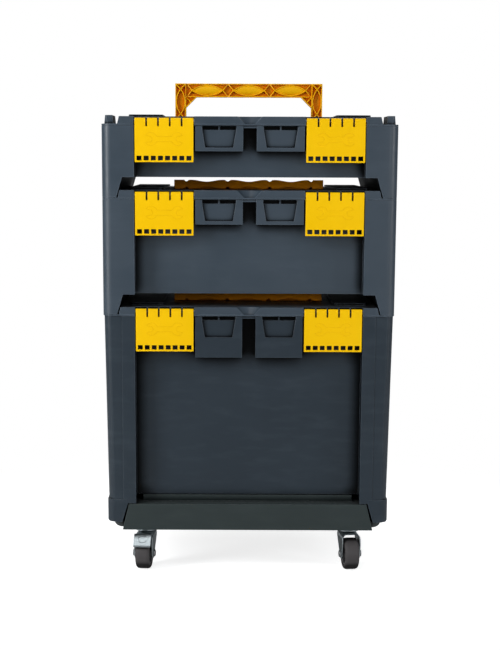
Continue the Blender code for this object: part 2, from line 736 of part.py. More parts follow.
def latch(name, seam, side):
    y, z = Y_FRONT + PIVOT_IN, seam + LID_RISE - PIVOT_DOWN
    front = Y_FRONT + LATCH_SET
    back = front + LATCH_T
    deep = back + LATCH_FLANGE_D
    top = z + KNUCKLE_R
    foot = top - LATCH_H
    hook_top = seam - CATCH_DROP - 0.35 * MM
    hook_low = hook_top - HOOK_T
    low_x, high_x = LATCH_X - LATCH_W / 2, LATCH_X + LATCH_W / 2
    section = ([(front, foot), (back + 3 * MM, foot), (deep, foot + 4 * MM), (deep, seam - 4 * MM),
                (back, seam - MM), (back, z - 3.3 * MM)]
               + arc((y, z), KNUCKLE_R, -45, 105, 5)
               + [(front + 0.9 * MM, top - 0.5 * MM), (front, top - 1.8 * MM)])
    body = extruded(name + "_raw", ALONG_X, section, low_x, high_x,
                    holes=[list(reversed(arc((y, z), PIN_R + CLEAR, 0, 315, 7)))])
    inside = back + 0.1 * MM
    above = [(inside, hook_top), (deep + MM, hook_top), (deep + MM, seam), (inside, seam)]
    below = [(inside, foot + 2.4 * MM), (deep + MM, foot + 2.1 * MM),
             (deep + MM, hook_low + 1.2 * MM), (inside, hook_low - 2 * MM)]
    tools = [extruded(name + "_inside", ALONG_X, room, low_x + LATCH_FLANGE_T, high_x - LATCH_FLANGE_T)
             for room in (above, below)]
    first = LATCH_X - FINGER_PITCH * (FINGERS - 2) / 2
    for k in range(FINGERS - 1):
        x = first + FINGER_PITCH * k
        tools.append(block(name + "_slot", (x - SLOT_W / 2, front - MM, top - SLOT_L),
                           (x + SLOT_W / 2, y + KNUCKLE_R + MM, top + MM)))
    first = LATCH_X - HOLE_PITCH * (HOLES - 1) / 2
    for k in range(HOLES):
        x = first + HOLE_PITCH * k
        tools.append(block(name + "_hole", (x - HOLE_SIZE / 2, front - MM, foot + HOLE_EDGE),
                           (x + HOLE_SIZE / 2, back + MM, foot + HOLE_EDGE + HOLE_SIZE)))
    body = cut(body, *tools)
    made = mirrored(body, name) if side < 0 else moved(body, name, (0, 0, 0))
    return finish(made, "latch")


# ---------------------------------------------------------------- handles

def lens(centre, half, bulge, upright, steps=3):
    """Pointed oval between two crossing arcs; upright turns it by a quarter."""
    radius = (half ** 2 + bulge ** 2) / (2 * bulge)
    spread = math.degrees(math.asin(half / radius))
    upper = arc((0, bulge - radius), radius, 90 - spread, 90 + spread, steps)
    lower = [(-x, -y) for x, y in upper]
    loop = upper[:-1] + lower[:-1]
    if upright:
        loop = [(-y, x) for x, y in loop]
    return [(centre[0] + x, centre[1] + y) for x, y in loop]


def handle_cells():
    """Outlines of the right half's cells of the lattice, in the plane of the upright handle."""
    half_rib = RIB_T / 2
    bar_mid = HANDLE_REACH - BAR_H / 2
    rise = BAR_H / 2 - RIB_T
    cells = []
    gap = LENS_PITCH / 2 - LENS_HALF
    for k in (0, 1):
        middle = k * LENS_PITCH
        cells.append(lens((middle, bar_mid), LENS_HALF - RIB_T, LENS_BULGE - half_rib, False))
        tip = middle + LENS_HALF
        for up in (1, -1):
            for out in ((-1, 1) if k else (1,)):
                x = middle + out * LENS_HALF
                cells.append([(x, bar_mid + up * 1.4 * RIB_T),
                              (x + out * (gap - 1.9 * RIB_T), bar_mid + up * rise),
                              (middle + out * 8 * MM, bar_mid + up * rise)])
    middle = LENS_PITCH / 2
    cells.append([(middle - gap + 1.4 * RIB_T, bar_mid), (middle, bar_mid - rise),
                  (middle + gap - 1.4 * RIB_T, bar_mid), (middle, bar_mid + rise)])
    leg_in = HANDLE_W / 2 - LEG_W
    start = LENS_PITCH + LENS_HALF + 1.4 * RIB_T
    end = leg_in - RIB_T / 2
    cells.append([(start, bar_mid), (end, bar_mid - rise + RIB_T), (end, bar_mid + rise - RIB_T)])
    leg_mid = HANDLE_W / 2 - LEG_W / 2
    lens_mid = HANDLE_REACH - 28.3 * MM
    side = LEG_W / 2 - RIB_T
    cells.append(lens((leg_mid, lens_mid), LEG_LENS_HALF - RIB_T, LEG_LENS_BULGE - half_rib, True))
    tip_high = lens_mid + LEG_LENS_HALF
    cells.append([(leg_mid, tip_high + 1.4 * RIB_T), (leg_mid + side - 1.2 * RIB_T, HANDLE_REACH - RIB_T),
                  (leg_mid - side + 1.2 * RIB_T, HANDLE_REACH - RIB_T)])
    for out in (-1, 1):
        for up in (-1, 1):
            tip = lens_mid + up * LEG_LENS_HALF
            cells.append([(leg_mid + out * 1.4 * RIB_T, tip), (leg_mid + out * side, tip + up * 5.4 * MM),
                          (leg_mid + out * side, tip - up * 12.4 * MM)])
    return cells


def handle_solid(name):
    """The handle standing upright with its pivot axis along X through the origin."""
    outer, inner = HANDLE_W / 2, HANDLE_W / 2 - LEG_W
    under = HANDLE_REACH - BAR_H
    right = [(inner - GUSSET, under), (inner, under - GUSSET), (inner, 0), (outer, 0),
             (outer, HANDLE_REACH)]
    outline = right + [(-x, z) for x, z in reversed(right)]
    cells = handle_cells()
    others = [[(-x, z) for x, z in cell] for cell in cells[1:]]
    frame = extruded(name, ALONG_Y, outline, -HANDLE_T / 2, HANDLE_T / 2, holes=[*cells, *others])
    shrink = RIB_T / 2
    web_right = [(inner - GUSSET - shrink, under + shrink), (inner + shrink, under - GUSSET - shrink),
                 (inner + shrink, 4 * MM), (outer - shrink, 4 * MM),
                 (outer - shrink, HANDLE_REACH - shrink)]
    web = extruded(name + "_web", ALONG_Y, web_right + [(-x, z) for x, z in reversed(web_right)],
                   -WEB_T / 2, WEB_T / 2)
    eye = cylinder(name + "_eye", (outer - LEG_W / 2, 0, 0), HANDLE_T / 2 + 0.1 * MM,
                   LEG_W + 0.1 * MM, "X", 12)
    frame = fuse(frame, web)
    frame = fuse(frame, eye, mirrored(eye, name + "_eye_left"))
    stub = cylinder(name + "_trunnion", (outer - LEG_W / 2, 0, 0), TRUNNION_R,
                    LEG_W + 2 * (WELL_GAP + WELL_WALL - CLEAR), "X", 10)
    return fuse(frame, stub, mirrored(stub, name + "_trunnion_left"))


# ---------------------------------------------------------------- dolly

def dolly_deck():
    name = "dolly_deck"
    bottom = DOLLY_BOTTOM
    skirt_top = bottom + SKIRT_H
    deck_top = bottom + DECK_H
    base = extruded(name, ALONG_Z,
                    rounded_rectangle(-BASE_X, BASE_X, Y_FRONT + BASE_SET, Y_REAR - BASE_SET, BASE_R),
                    bottom + 0.5 * MM, bottom + BASE_T)
    soften(base, bottom + 0.5 * MM, BASE_EDGE, 3)
    section = [(-SKIRT_X_LOW, bottom), (SKIRT_X_LOW, bottom),
               (SKIRT_X_HIGH, skirt_top), (-SKIRT_X_HIGH, skirt_top)]
    skirt = extruded(name + "_skirt", ALONG_Y, section, Y_FRONT + SKIRT_SET, Y_REAR - SKIRT_SET)
    deck = block(name + "_top", (-DECK_X, Y_FRONT + DECK_LEDGE, skirt_top - MM),
                 (DECK_X, Y_REAR - DECK_LEDGE, deck_top))
    whole = fuse(base, skirt, deck)
    inside = [(-SKIRT_X_LOW + WALL, bottom - MM), (SKIRT_X_LOW - WALL, bottom - MM),
              (SKIRT_X_HIGH - WALL, skirt_top - WALL), (-SKIRT_X_HIGH + WALL, skirt_top - WALL)]
    hollow = extruded(name + "_hollow", ALONG_Y, inside, Y_FRONT + SKIRT_SET + WALL,
                      Y_REAR - SKIRT_SET - WALL)
    upper = block(name + "_upper", (-DECK_X + WALL, Y_FRONT + DECK_LEDGE + WALL, skirt_top - 2 * WALL),
                  (DECK_X - WALL, Y_REAR - DECK_LEDGE - WALL, deck_top - WALL))
    whole = cut(whole, hollow, upper)
    ribs = []
    half, ceiling = RIB_THICK / 2, deck_top - WALL
    for k in (-1, 0, 1):
        x, y = k * RIB_PITCH_X, Y_MID + k * RIB_PITCH_Y
        ribs.append(block(name + "_long_rib", (x - half, Y_FRONT + DECK_LEDGE + MM, ceiling - RIB_DEPTH),
                          (x + half, Y_REAR - DECK_LEDGE - MM, ceiling + MM)))
        ribs.append(block(name + "_cross_rib", (-DECK_X + MM, y - half, ceiling - 0.8 * RIB_DEPTH),
                          (DECK_X - MM, y + half, ceiling + 0.7 * MM)))
    for x, y, _ in caster_places():
        low_x, high_x = sorted((x - math.copysign(PAD_SIZE / 2, x),
                                math.copysign(SKIRT_X_LOW - WALL / 2, x)))
        ribs.append(block(name + "_pad", (low_x, y - PAD_SIZE / 2, bottom + 0.2 * MM),
                          (high_x, y + PAD_SIZE / 2, bottom + PAD_T)))
    whole = fuse(whole, *ribs)
    holes = [cylinder(name + "_rivet_hole", (x, y, bottom + RIVET_DEPTH / 2), RIVET_R + CLEAR,
                      RIVET_DEPTH + 2 * CLEAR, "Z", 8)
             for x, y in rivet_places()]
    return finish(cut(whole, *holes), "deck")


def caster_places():
    front, rear = Y_FRONT + CASTER_INSET, Y_REAR - CASTER_INSET
    return [(-CASTER_X, front, "front_left"), (CASTER_X, front, "front_right"),
            (-CASTER_X, rear, "rear_left"), (CASTER_X, rear, "rear_right")]


def rivet_places():
    half = RIVET_SPACING / 2
    return [(x + dx, y + dy) for x, y, _ in caster_places()
            for dx in (-half, half) for dy in (-half, half)]


# ---------------------------------------------------------------- casters

def caster_plate(name):
    """Top plate with its pressed cup, in the caster's own frame: swivel axis on Z."""
    top = DOLLY_BOTTOM - 0.1 * MM
    half = PLATE_SIZE / 2
    plate = extruded(name, ALONG_Z, rounded_rectangle(-half, half, -half, half, 7 * MM, 2),
                     top - PLATE_T, top)
    cup = cylinder(name + "_cup", (0, 0, top - PLATE_T), 12 * MM, 5 * MM, "Z", 12, 14 * MM)
    plate = fuse(plate, cup)
    tools = [cylinder(name + "_bore", (0, 0, top), KINGPIN_R + CLEAR, 20 * MM, "Z", 12),
             cylinder(name + "_trim", (0, 0, top + 5 * MM), 20 * MM, 10 * MM, "Z", 12)]
    plate = cut(plate, *tools)
    rivets = [rivet(name + "_rivet", dx * RIVET_SPACING / 2, dy * RIVET_SPACING / 2, top)
              for dx in (-1, 1) for dy in (-1, 1)]
    return fuse(plate, *rivets)


def rivet(name, x, y, top):
    """Rivet set in the plate: flat head under it, shank up into the dolly."""
    under = top - PLATE_T
    profile = [(0, top + RIVET_DEPTH), (RIVET_R, top + RIVET_DEPTH), (RIVET_R, under + MM),
               (RIVET_HEAD_R, under + 0.4 * MM), (RIVET_HEAD_R - MM, under - RIVET_HEAD_T),
               (0, under - RIVET_HEAD_T)]
    return turned(name, profile, 6, (x, y, 0))


def bearing(name):
    low, high = FORK_TOP + CLEAR, DOLLY_BOTTOM - 0.1 * MM - PLATE_T - 2.5 * MM - CLEAR
    inner = KINGPIN_R + CLEAR
    profile = [(inner, high), (BEARING_R - 4 * MM, high), (BEARING_R, high - 2.2 * MM),
               (BEARING_R, low + 1.2 * MM), (BEARING_R - 2 * MM, low), (inner, low)]
    return turned(name, profile, 14)


def kingpin(name):
    head_low = FORK_TOP - FORK_T - 3.3 * MM
    profile = [(0, head_low), (5 * MM, head_low), (7.5 * MM, FORK_TOP - FORK_T - CLEAR),
               (KINGPIN_R, FORK_TOP - FORK_T - CLEAR), (KINGPIN_R, DOLLY_BOTTOM - 0.4 * MM),
               (0, DOLLY_BOTTOM - 0.4 * MM)]
    return turned(name, profile, 8)


def fork(name, braked):
    """Bent sheet fork: a rounded arch in front view, cheeks narrowing to the axle."""
    inner = FORK_GAP / 2
    outer = inner + FORK_T
    low = WHEEL_R - 12 * MM
    radius = 8 * MM
    outside = ([(outer, low)] + arc((outer - radius, FORK_TOP - radius), radius, 0, 90, 4)
               + arc((-outer + radius, FORK_TOP - radius), radius, 90, 180, 4) + [(-outer, low)])
    small = radius - FORK_T
    inside = (arc((-inner + small, FORK_TOP - FORK_T - small), small, 180, 90, 4)
              + arc((inner - small, FORK_TOP - FORK_T - small), small, 90, 0, 4))
    outline = outside + [(-inner, low)] + inside + [(inner, low)]
    arch = extruded(name, ALONG_Y, outline, -36 * MM, 20 * MM)
    foot = arc((-TRAIL, WHEEL_R), 8.5 * MM, 200, 340, 5)
    side = ([(17 * MM, FORK_TOP + MM), (-22 * MM, FORK_TOP + MM), (-28 * MM, 52 * MM),
             (-30 * MM, 42 * MM)] + foot + [(16 * MM, 50 * MM)])
    profile = extruded(name + "_side", ALONG_X, side, -30 * MM, 30 * MM)
    arch = shared(arch, profile)
    tools = [cylinder(name + "_king_bore", (0, 0, FORK_TOP), KINGPIN_R + CLEAR, 20 * MM, "Z", 12),
             cylinder(name + "_axle_bore", (0, -TRAIL, WHEEL_R), AXLE_R + CLEAR, 60 * MM, "X", 10)]
    if braked:
        tools.append(cylinder(name + "_pedal_bore", (0, *PEDAL_AXIS), 2 * MM + CLEAR, 60 * MM, "X", 8))
    return cut(arch, *tools)


def wheel_hub(name):
    half = WHEEL_W / 2
    profile = [(AXLE_R + CLEAR, half), (8 * MM, half), (9 * MM, 6 * MM), (HUB_R - 3 * MM, 6 * MM),
               (HUB_R, half - 1.5 * MM)]
    profile += [(radius, -height) for radius, height in reversed(profile)]
    return turned(name, profile, 12, (0, -TRAIL, WHEEL_R), along_x=True)


def tyre(name):
    half = WHEEL_W / 2
    inner = HUB_R + CLEAR
    profile = [(inner, half - 1.5 * MM), (WHEEL_R - 5 * MM, half), (WHEEL_R - 2 * MM, half - 1.2 * MM),
               (WHEEL_R, half - 5.5 * MM)]
    profile += [(radius, -height) for radius, height in reversed(profile)]
    return turned(name, profile, 20, (0, -TRAIL, WHEEL_R), along_x=True)


def axle(name):
    out = FORK_GAP / 2 + FORK_T + CLEAR
    cap = out + 3.6 * MM
    profile = [(0, cap), (6.5 * MM, cap), (6.5 * MM, out), (AXLE_R, out), (AXLE_R, -out),
               (6.5 * MM, -out), (6.5 * MM, -cap), (0, -cap)]
    return turned(name, profile, 8, (0, -TRAIL, WHEEL_R), along_x=True)


def brake_pedal(name):
    """Bent pedal over the tyre: trunnion, arm, sloping tread with a rolled edge."""
    y, z = PEDAL_AXIS
    arm = [(y + 2 * MM, z - 1.2 * MM), (y + 1.5 * MM, z + 1.6 * MM), (y - 11 * MM, z + 2.6 * MM),
           (y - 11 * MM, z - 1.0 * MM)]
    arm_solid = extruded(name, ALONG_X, arm, -10 * MM, 10 * MM)
    tread = [(y - 8.6 * MM, z + 5.6 * MM), (y - 10.4 * MM, z + 6 * MM), (y - 21 * MM, z - 9.5 * MM),
             (y - 21.4 * MM, z - 12.8 * MM), (y - 19.6 * MM, z - 13 * MM), (y - 19.2 * MM, z - 10.5 * MM)]
    tread_solid = extruded(name + "_tread", ALONG_X, tread, -PEDAL_W / 2, PEDAL_W / 2)
    barrel = cylinder(name + "_barrel", (0, y, z), 2.4 * MM, FORK_GAP - 8 * MM, "X", 10)
    trunnion = cylinder(name + "_trunnion", (0, y, z), 2 * MM, FORK_GAP + 2 * FORK_T + MM, "X", 8)
    return fuse(arm_solid, tread_solid, barrel, trunnion)


def caster(x, y, corner):
    braked = corner in ("front_left", "rear_right")
    yaw = math.copysign(CASTER_YAW, x)
    plate = finish(caster_plate(corner + "_caster_plate"), "zinc")
    plate.data.transform(Matrix.Translation((x, y, 0)))
    parts = [finish(bearing(corner + "_bearing"), "zinc"),
             finish(kingpin(corner + "_kingpin"), "steel"),
             finish(fork(corner + "_fork", braked), "zinc"),
             finish(axle(corner + "_axle"), "steel")]
    rolling = [finish(wheel_hub(corner + "_wheel_hub"), "hub"),
               finish(tyre(corner + "_tyre"), "tyre")]
    swivel = Matrix.Translation((x, y, 0)) @ Matrix.Rotation(yaw, 4, "Z")
    pedals = [finish(brake_pedal(corner + "_brake_pedal"), "zinc")] if braked else []
    for node in parts + rolling + pedals:
        node.data.transform(swivel)
    carry(corner + "_caster", (x, y, DOLLY_BOTTOM), parts, yaw)
    hub_at = swivel @ Vector((0, -TRAIL, WHEEL_R))
    carry(corner + "_wheel", hub_at, rolling, yaw)
    if pedals:
        carry(corner + "_brake", swivel @ Vector((0, *PEDAL_AXIS)), pedals, yaw)
    return plate


# ---------------------------------------------------------------- assembly

def box(name, foot, seam, handle_mesh):
    body = box_body(name, foot, seam)
    carry(name + "_box", (0, Y_MID, foot), [body])
    lid = box_lid(name, seam)
    axis_y, axis_z = hinge_axis(seam)
    pins = []
    for side, word in ((-1, "left"), (1, "right")):
        rod = latch_rod("rod", PIN_R, seam, CLEAR)
        pin = cylinder("pin", (HINGE_X, axis_y, axis_z), HINGE_PIN_R, HINGE_L, "X", 8)
        for shape, node in ((rod, name + "_latch_rod_" + word), (pin, name + "_hinge_pin_" + word)):
            placed = mirrored(shape, node) if side < 0 else moved(shape, node, (0, 0, 0))
            pins.append(finish(placed, "steel"))
    carry(name + "_lid", (0, axis_y, axis_z), [lid, *pins])
    for side, word in ((-1, "left"), (1, "right")):
        made = latch(name + "_latch_" + word, seam, side)
        carry(made.name, (side * LATCH_X, Y_FRONT + PIVOT_IN, seam + LID_RISE - PIVOT_DOWN), [made])
    handle = finish(new_object(name + "_handle", handle_mesh), "handle")
    holder = bpy.data.objects.new(name + "_handle_pivot", None)
    MODEL.objects.link(holder)
    holder.location = (0, Y_MID, seam + LID_RISE - HANDLE_AXIS_DROP)
    holder.rotation_euler = (0 if name == "top" else HANDLE_FOLD, 0, 0)
    handle.parent = holder


def build():
    deck = dolly_deck()
    plates = [caster(x, y, corner) for x, y, corner in caster_places()]
    carry("dolly", (0, Y_MID, DOLLY_BOTTOM), [deck, *plates])
    handle_mesh = handle_solid("handle_shape").data
    foot = DOLLY_BOTTOM + BASE_T + CLEAR
    for name in ("bottom", "middle", "top"):
        seam = foot + BOX_HEIGHTS[name]
        box(name, foot, seam, handle_mesh)
        foot = seam + CLEAR + FLANGE_T + CLEAR


build()
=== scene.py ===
# Rolling tool box: three stacking tool boxes with lids, latches and folding handles,
# standing on a low dolly with four swivel casters.
import json
import math

import bmesh
import bpy
from mathutils import Matrix, Vector


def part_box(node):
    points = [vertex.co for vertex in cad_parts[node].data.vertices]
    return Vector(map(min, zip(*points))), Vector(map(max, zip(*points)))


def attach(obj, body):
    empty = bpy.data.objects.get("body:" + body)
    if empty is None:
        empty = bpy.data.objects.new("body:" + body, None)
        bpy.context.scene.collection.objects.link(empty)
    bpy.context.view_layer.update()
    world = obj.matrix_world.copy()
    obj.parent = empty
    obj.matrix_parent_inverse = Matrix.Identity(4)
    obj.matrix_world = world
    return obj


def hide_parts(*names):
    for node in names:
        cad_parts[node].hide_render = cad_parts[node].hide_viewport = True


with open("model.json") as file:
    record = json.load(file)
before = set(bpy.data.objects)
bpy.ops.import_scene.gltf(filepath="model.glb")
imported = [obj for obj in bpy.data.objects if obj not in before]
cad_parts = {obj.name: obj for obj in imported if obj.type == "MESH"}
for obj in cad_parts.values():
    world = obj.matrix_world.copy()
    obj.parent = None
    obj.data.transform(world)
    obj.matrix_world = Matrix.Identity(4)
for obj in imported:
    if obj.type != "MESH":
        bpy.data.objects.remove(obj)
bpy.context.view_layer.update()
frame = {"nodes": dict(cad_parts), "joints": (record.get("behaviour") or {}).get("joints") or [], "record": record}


# ------------------------------------------------------------------ camera and light
# The stack stands on white paper, seen through a long lens from a little above its middle. Six
# soft area lamps light it: a strong tall one at the left and a weaker one at the right, one high
# and one low at the front, a wide one behind and one overhead.
def placed(name, data):
    """A new object that is in the scene and is the only one selected."""
    made = bpy.data.objects.new(name, data)
    bpy.context.scene.collection.objects.link(made)
    bpy.ops.object.select_all(action="DESELECT")
    bpy.context.view_layer.objects.active = made
    made.select_set(True)
    return made


front_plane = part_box("top_lid")[0][1]
camera_side, camera_distance, camera_height = -0.0311, 2.2285, 0.643
look_down, roll = 10, 0.223
camera = placed("camera", bpy.data.cameras.new("camera"))
camera.location = (camera_side, front_plane - camera_distance, camera_height)
camera.rotation_euler = (Matrix.Rotation(math.radians(90 - look_down), 3, "X")
                         @ Matrix.Rotation(math.radians(roll), 3, "Z")).to_euler()
camera.data.lens = 81.36
camera.data.sensor_width = 36
camera.data.shift_x = 0.0337
camera.data.shift_y = 0.1406
camera.data.clip_end = 50
bpy.context.scene.camera = camera
bpy.context.scene.view_settings.view_transform = "Standard"

# The room is plain white to the eye, but lights the stack only weakly.
world = bpy.data.worlds.new("white_room")
bpy.context.scene.world = world
world.use_nodes = True
nodes, links = world.node_tree.nodes, world.node_tree.links
nodes.clear()
path = nodes.new("ShaderNodeLightPath")
seen = nodes.new("ShaderNodeBackground")
seen.inputs["Color"].default_value = (1, 1, 1, 1)
seen.inputs["Strength"].default_value = 1.0
room = nodes.new("ShaderNodeBackground")
room.inputs["Color"].default_value = (0.9, 0.95, 1, 1)
room.inputs["Strength"].default_value = 0.16
mix = nodes.new("ShaderNodeMixShader")
out = nodes.new("ShaderNodeOutputWorld")
links.new(path.outputs["Is Camera Ray"], mix.inputs["Fac"])
links.new(room.outputs[0], mix.inputs[1])
links.new(seen.outputs[0], mix.inputs[2])
links.new(mix.outputs[0], out.inputs["Surface"])


def lamp(name, place, target, size, power):
    """A rectangular soft light, aimed at a target; power is in watts."""
    data = bpy.data.lights.new(name, "AREA")
    data.shape = "RECTANGLE"
    data.size, data.size_y = size
    data.energy = power
    made = placed(name, data)
    made.location = place
    made.rotation_euler = (Vector(target) - Vector(place)).to_track_quat("-Z", "Y").to_euler()


lamp("left softbox", (-2.1, -1.4, 1.2), (0, -0.1, 0.6), (0.7, 1.5), 46)
lamp("right softbox", (2.2, -1.1, 1.1), (0, -0.1, 0.6), (0.6, 1.5), 17)
lamp("front softbox", (-0.6, -2.2, 2.5), (0, 0, 0.75), (1.2, 1.0), 13)
lamp("front fill", (1.2, -2.3, 0.95), (0, 0, 0.65), (0.8, 0.6), 6)
lamp("rear softbox", (0.0, 2.0, 1.5), (0, 0, 0.75), (2.6, 1.0), 14)
lamp("overhead softbox", (0.0, 0.9, 2.0), (0, 0.1, 0.6), (1.8, 1.0), 14)


def feed(tree, value, socket):
    """Links another node's output into a socket, or sets the socket to a plain value."""
    if isinstance(value, bpy.types.NodeSocket):
        tree.links.new(value, socket)
    else:
        socket.default_value = value


def product(tree, first, second):
    """One value times another."""
    node = tree.nodes.new("ShaderNodeMath")
    node.operation = "MULTIPLY"
    feed(tree, first, node.inputs[0])
    feed(tree, second, node.inputs[1])
    return node.outputs[0]


def ranged(tree, value, low, high, to_low=0.0, to_high=1.0):
    """A value, mapped from one range onto another."""
    node = tree.nodes.new("ShaderNodeMapRange")
    node.inputs["From Min"].default_value = low
    node.inputs["From Max"].default_value = high
    node.inputs["To Min"].default_value = to_low
    node.inputs["To Max"].default_value = to_high
    tree.links.new(value, node.inputs["Value"])
    return node.outputs["Result"]


def blank_material(name):
    """A new material, with its node tree and its surface shader."""
    made = bpy.data.materials.new(name)
    made.use_nodes = True
    return made, made.node_tree, made.node_tree.nodes["Principled BSDF"]


# The paper takes a faint shadow round the casters and fades to pure white further out.
bpy.ops.object.select_all(action="DESELECT")
bpy.ops.mesh.primitive_plane_add(size=12, location=(0, 0, -0.0003))
floor = bpy.context.object
floor.name = "floor"
paper, tree, shader = blank_material("paper")
nodes, links = tree.nodes, tree.links
shader.inputs["Base Color"].default_value = (0.8, 0.8, 0.8, 1)
shader.inputs["Roughness"].default_value = 0.9
shader.inputs["Specular IOR Level"].default_value = 0.1
camera_ray = nodes.new("ShaderNodeLightPath").outputs["Is Camera Ray"]
glow = nodes.new("ShaderNodeEmission")
glow.inputs["Color"].default_value = (1, 1, 1, 1)
links.new(product(tree, camera_ray, 0.78), glow.inputs["Strength"])
lit = nodes.new("ShaderNodeAddShader")
links.new(shader.outputs[0], lit.inputs[0])
links.new(glow.outputs[0], lit.inputs[1])
from_middle = nodes.new("ShaderNodeVectorMath")
from_middle.operation = "LENGTH"
links.new(nodes.new("ShaderNodeTexCoord").outputs["Object"], from_middle.inputs[0])
fade = ranged(tree, from_middle.outputs["Value"], 0.30, 0.75)
fade.node.interpolation_type = "SMOOTHSTEP"
white = nodes.new("ShaderNodeEmission")
white.inputs["Color"].default_value = (1, 1, 1, 1)
blend = nodes.new("ShaderNodeMixShader")
links.new(product(tree, camera_ray, fade), blend.inputs["Fac"])
links.new(lit.outputs[0], blend.inputs[1])
links.new(white.outputs[0], blend.inputs[2])
links.new(blend.outputs[0], nodes["Material Output"].inputs["Surface"])
floor.data.materials.append(paper)


# ------------------------------------------------------------------ box bodies and lids
# Injection-moulded polypropylene in dark blue-grey, darkest on the deep box, with a fine grain,
# small radii on every edge, and slow changes of shade where the melt flowed. Each lid hangs on two
# pins at the rear, and each box only rests on what is below it.
levels = ("bottom", "middle", "top")
body_of_node = {node: body for body, nodes in frame["record"]["behaviour"]["bodies"].items()
                for node in nodes}


def noise(tree, place, scale, detail, distortion=0.0):
    """Cloudy noise over the given coordinates."""
    node = tree.nodes.new("ShaderNodeTexNoise")
    node.inputs["Detail"].default_value = detail
    node.inputs["Distortion"].default_value = distortion
    tree.links.new(place, node.inputs["Vector"])
    feed(tree, scale, node.inputs["Scale"])
    return node.outputs["Fac"]


def mixed(tree, first, second, factor, kind="MIX"):
    """Two colours, mixed by a factor."""
    node = tree.nodes.new("ShaderNodeMix")
    node.data_type = "RGBA"
    node.blend_type = kind
    feed(tree, first, node.inputs["A"])
    feed(tree, second, node.inputs["B"])
    feed(tree, factor, node.inputs["Factor"])
    return node.outputs["Result"]


def emboss(tree, shader, height, strength, depth):
    """Fine relief on a shader's surface; depth is in metres."""
    bump = tree.nodes.new("ShaderNodeBump")
    bump.inputs["Strength"].default_value = strength
    bump.inputs["Distance"].default_value = depth
    tree.links.new(height, bump.inputs["Height"])
    tree.links.new(bump.outputs["Normal"], shader.inputs["Normal"])


def moulded_grain():
    """Node group: the fine grain, slow flow marks and level scuffs of a moulding."""
    group = bpy.data.node_groups.new("moulded grain", "ShaderNodeTree")
    face = group.interface
    face.new_socket("Vector", in_out="INPUT", socket_type="NodeSocketVector")
    face.new_socket("Grain Scale", in_out="INPUT", socket_type="NodeSocketFloat")
    face.new_socket("Flow Scale", in_out="INPUT", socket_type="NodeSocketFloat")
    face.new_socket("Grain", in_out="OUTPUT", socket_type="NodeSocketFloat")
    face.new_socket("Flow", in_out="OUTPUT", socket_type="NodeSocketFloat")
    face.new_socket("Scuffs", in_out="OUTPUT", socket_type="NodeSocketFloat")
    come, go = group.nodes.new("NodeGroupInput"), group.nodes.new("NodeGroupOutput")
    place = come.outputs["Vector"]
    flattened = group.nodes.new("ShaderNodeVectorMath")
    flattened.operation = "MULTIPLY"
    flattened.inputs[1].default_value = (5, 5, 20)
    group.links.new(place, flattened.inputs[0])
    results = {
        "Grain": noise(group, place, come.outputs["Grain Scale"], 2),
        "Flow": noise(group, place, come.outputs["Flow Scale"], 3, distortion=0.6),
        "Scuffs": ranged(group, noise(group, flattened.outputs[0], 4, 6), 0.50, 0.82),
    }
    for name, result in results.items():
        group.links.new(result, go.inputs[name])
    return group


def shade_highlight_and_dust():
    """Node group: how open a spot is to the light, for painted shade; how sharp an edge, for a painted highlight;
    how much dust lies there.
    """
    group = bpy.data.node_groups.new("painted shade, edge highlights and dust", "ShaderNodeTree")
    face = group.interface
    face.new_socket("Vector", in_out="INPUT", socket_type="NodeSocketVector")
    face.new_socket("Reach", in_out="INPUT", socket_type="NodeSocketFloat")
    face.new_socket("Edge Radius", in_out="INPUT", socket_type="NodeSocketFloat")
    face.new_socket("Open", in_out="OUTPUT", socket_type="NodeSocketFloat")
    face.new_socket("Edge", in_out="OUTPUT", socket_type="NodeSocketFloat")
    face.new_socket("Dust", in_out="OUTPUT", socket_type="NodeSocketFloat")
    face.new_socket("Enclosed", in_out="OUTPUT", socket_type="NodeSocketFloat")
    nodes, links = group.nodes, group.links
    come, go = nodes.new("NodeGroupInput"), nodes.new("NodeGroupOutput")
    place = come.outputs["Vector"]

    # Ambient occlusion, near by and further round: where little light gets in, shade is painted into the colour.
    nearby = nodes.new("ShaderNodeAmbientOcclusion")
    nearby.samples = 16
    links.new(come.outputs["Reach"], nearby.inputs["Distance"])
    around = nodes.new("ShaderNodeAmbientOcclusion")
    around.samples = 8
    around.inputs["Distance"].default_value = 0.12

    # An edge is where the rounded normal turns away from the face's own; a highlight is painted there.
    facing = nodes.new("ShaderNodeNewGeometry")
    rounding = nodes.new("ShaderNodeBevel")
    rounding.samples = 4
    links.new(come.outputs["Edge Radius"], rounding.inputs["Radius"])
    agree = nodes.new("ShaderNodeVectorMath")
    agree.operation = "DOT_PRODUCT"
    links.new(rounding.outputs["Normal"], agree.inputs[0])
    links.new(facing.outputs["True Normal"], agree.inputs[1])
    sharp = ranged(group, agree.outputs["Value"], 0.97, 0.80)

    # Dust settles in specks on the faces that look up.
    split = nodes.new("ShaderNodeSeparateXYZ")
    links.new(facing.outputs["Normal"], split.inputs[0])
    upward = ranged(group, split.outputs["Z"], 0.85, 1.0)
    specks = ranged(group, noise(group, place, 260, 5), 0.35, 0.65)

    results = {
        "Open": ranged(group, nearby.outputs["AO"], 0.58, 0.90),
        "Edge": product(group, sharp, noise(group, place, 35, 3)),
        "Dust": product(group, upward, specks),
        "Enclosed": ranged(group, around.outputs["AO"], 0.62, 0.28),
    }
    for name, result in results.items():
        links.new(result, go.inputs[name])
    return group


grain_group = moulded_grain()
shade_highlight_and_dust_group = shade_highlight_and_dust()
flow_scale, edge_reach, dust_colour = 14, 0.0013, (0.32, 0.33, 0.34)


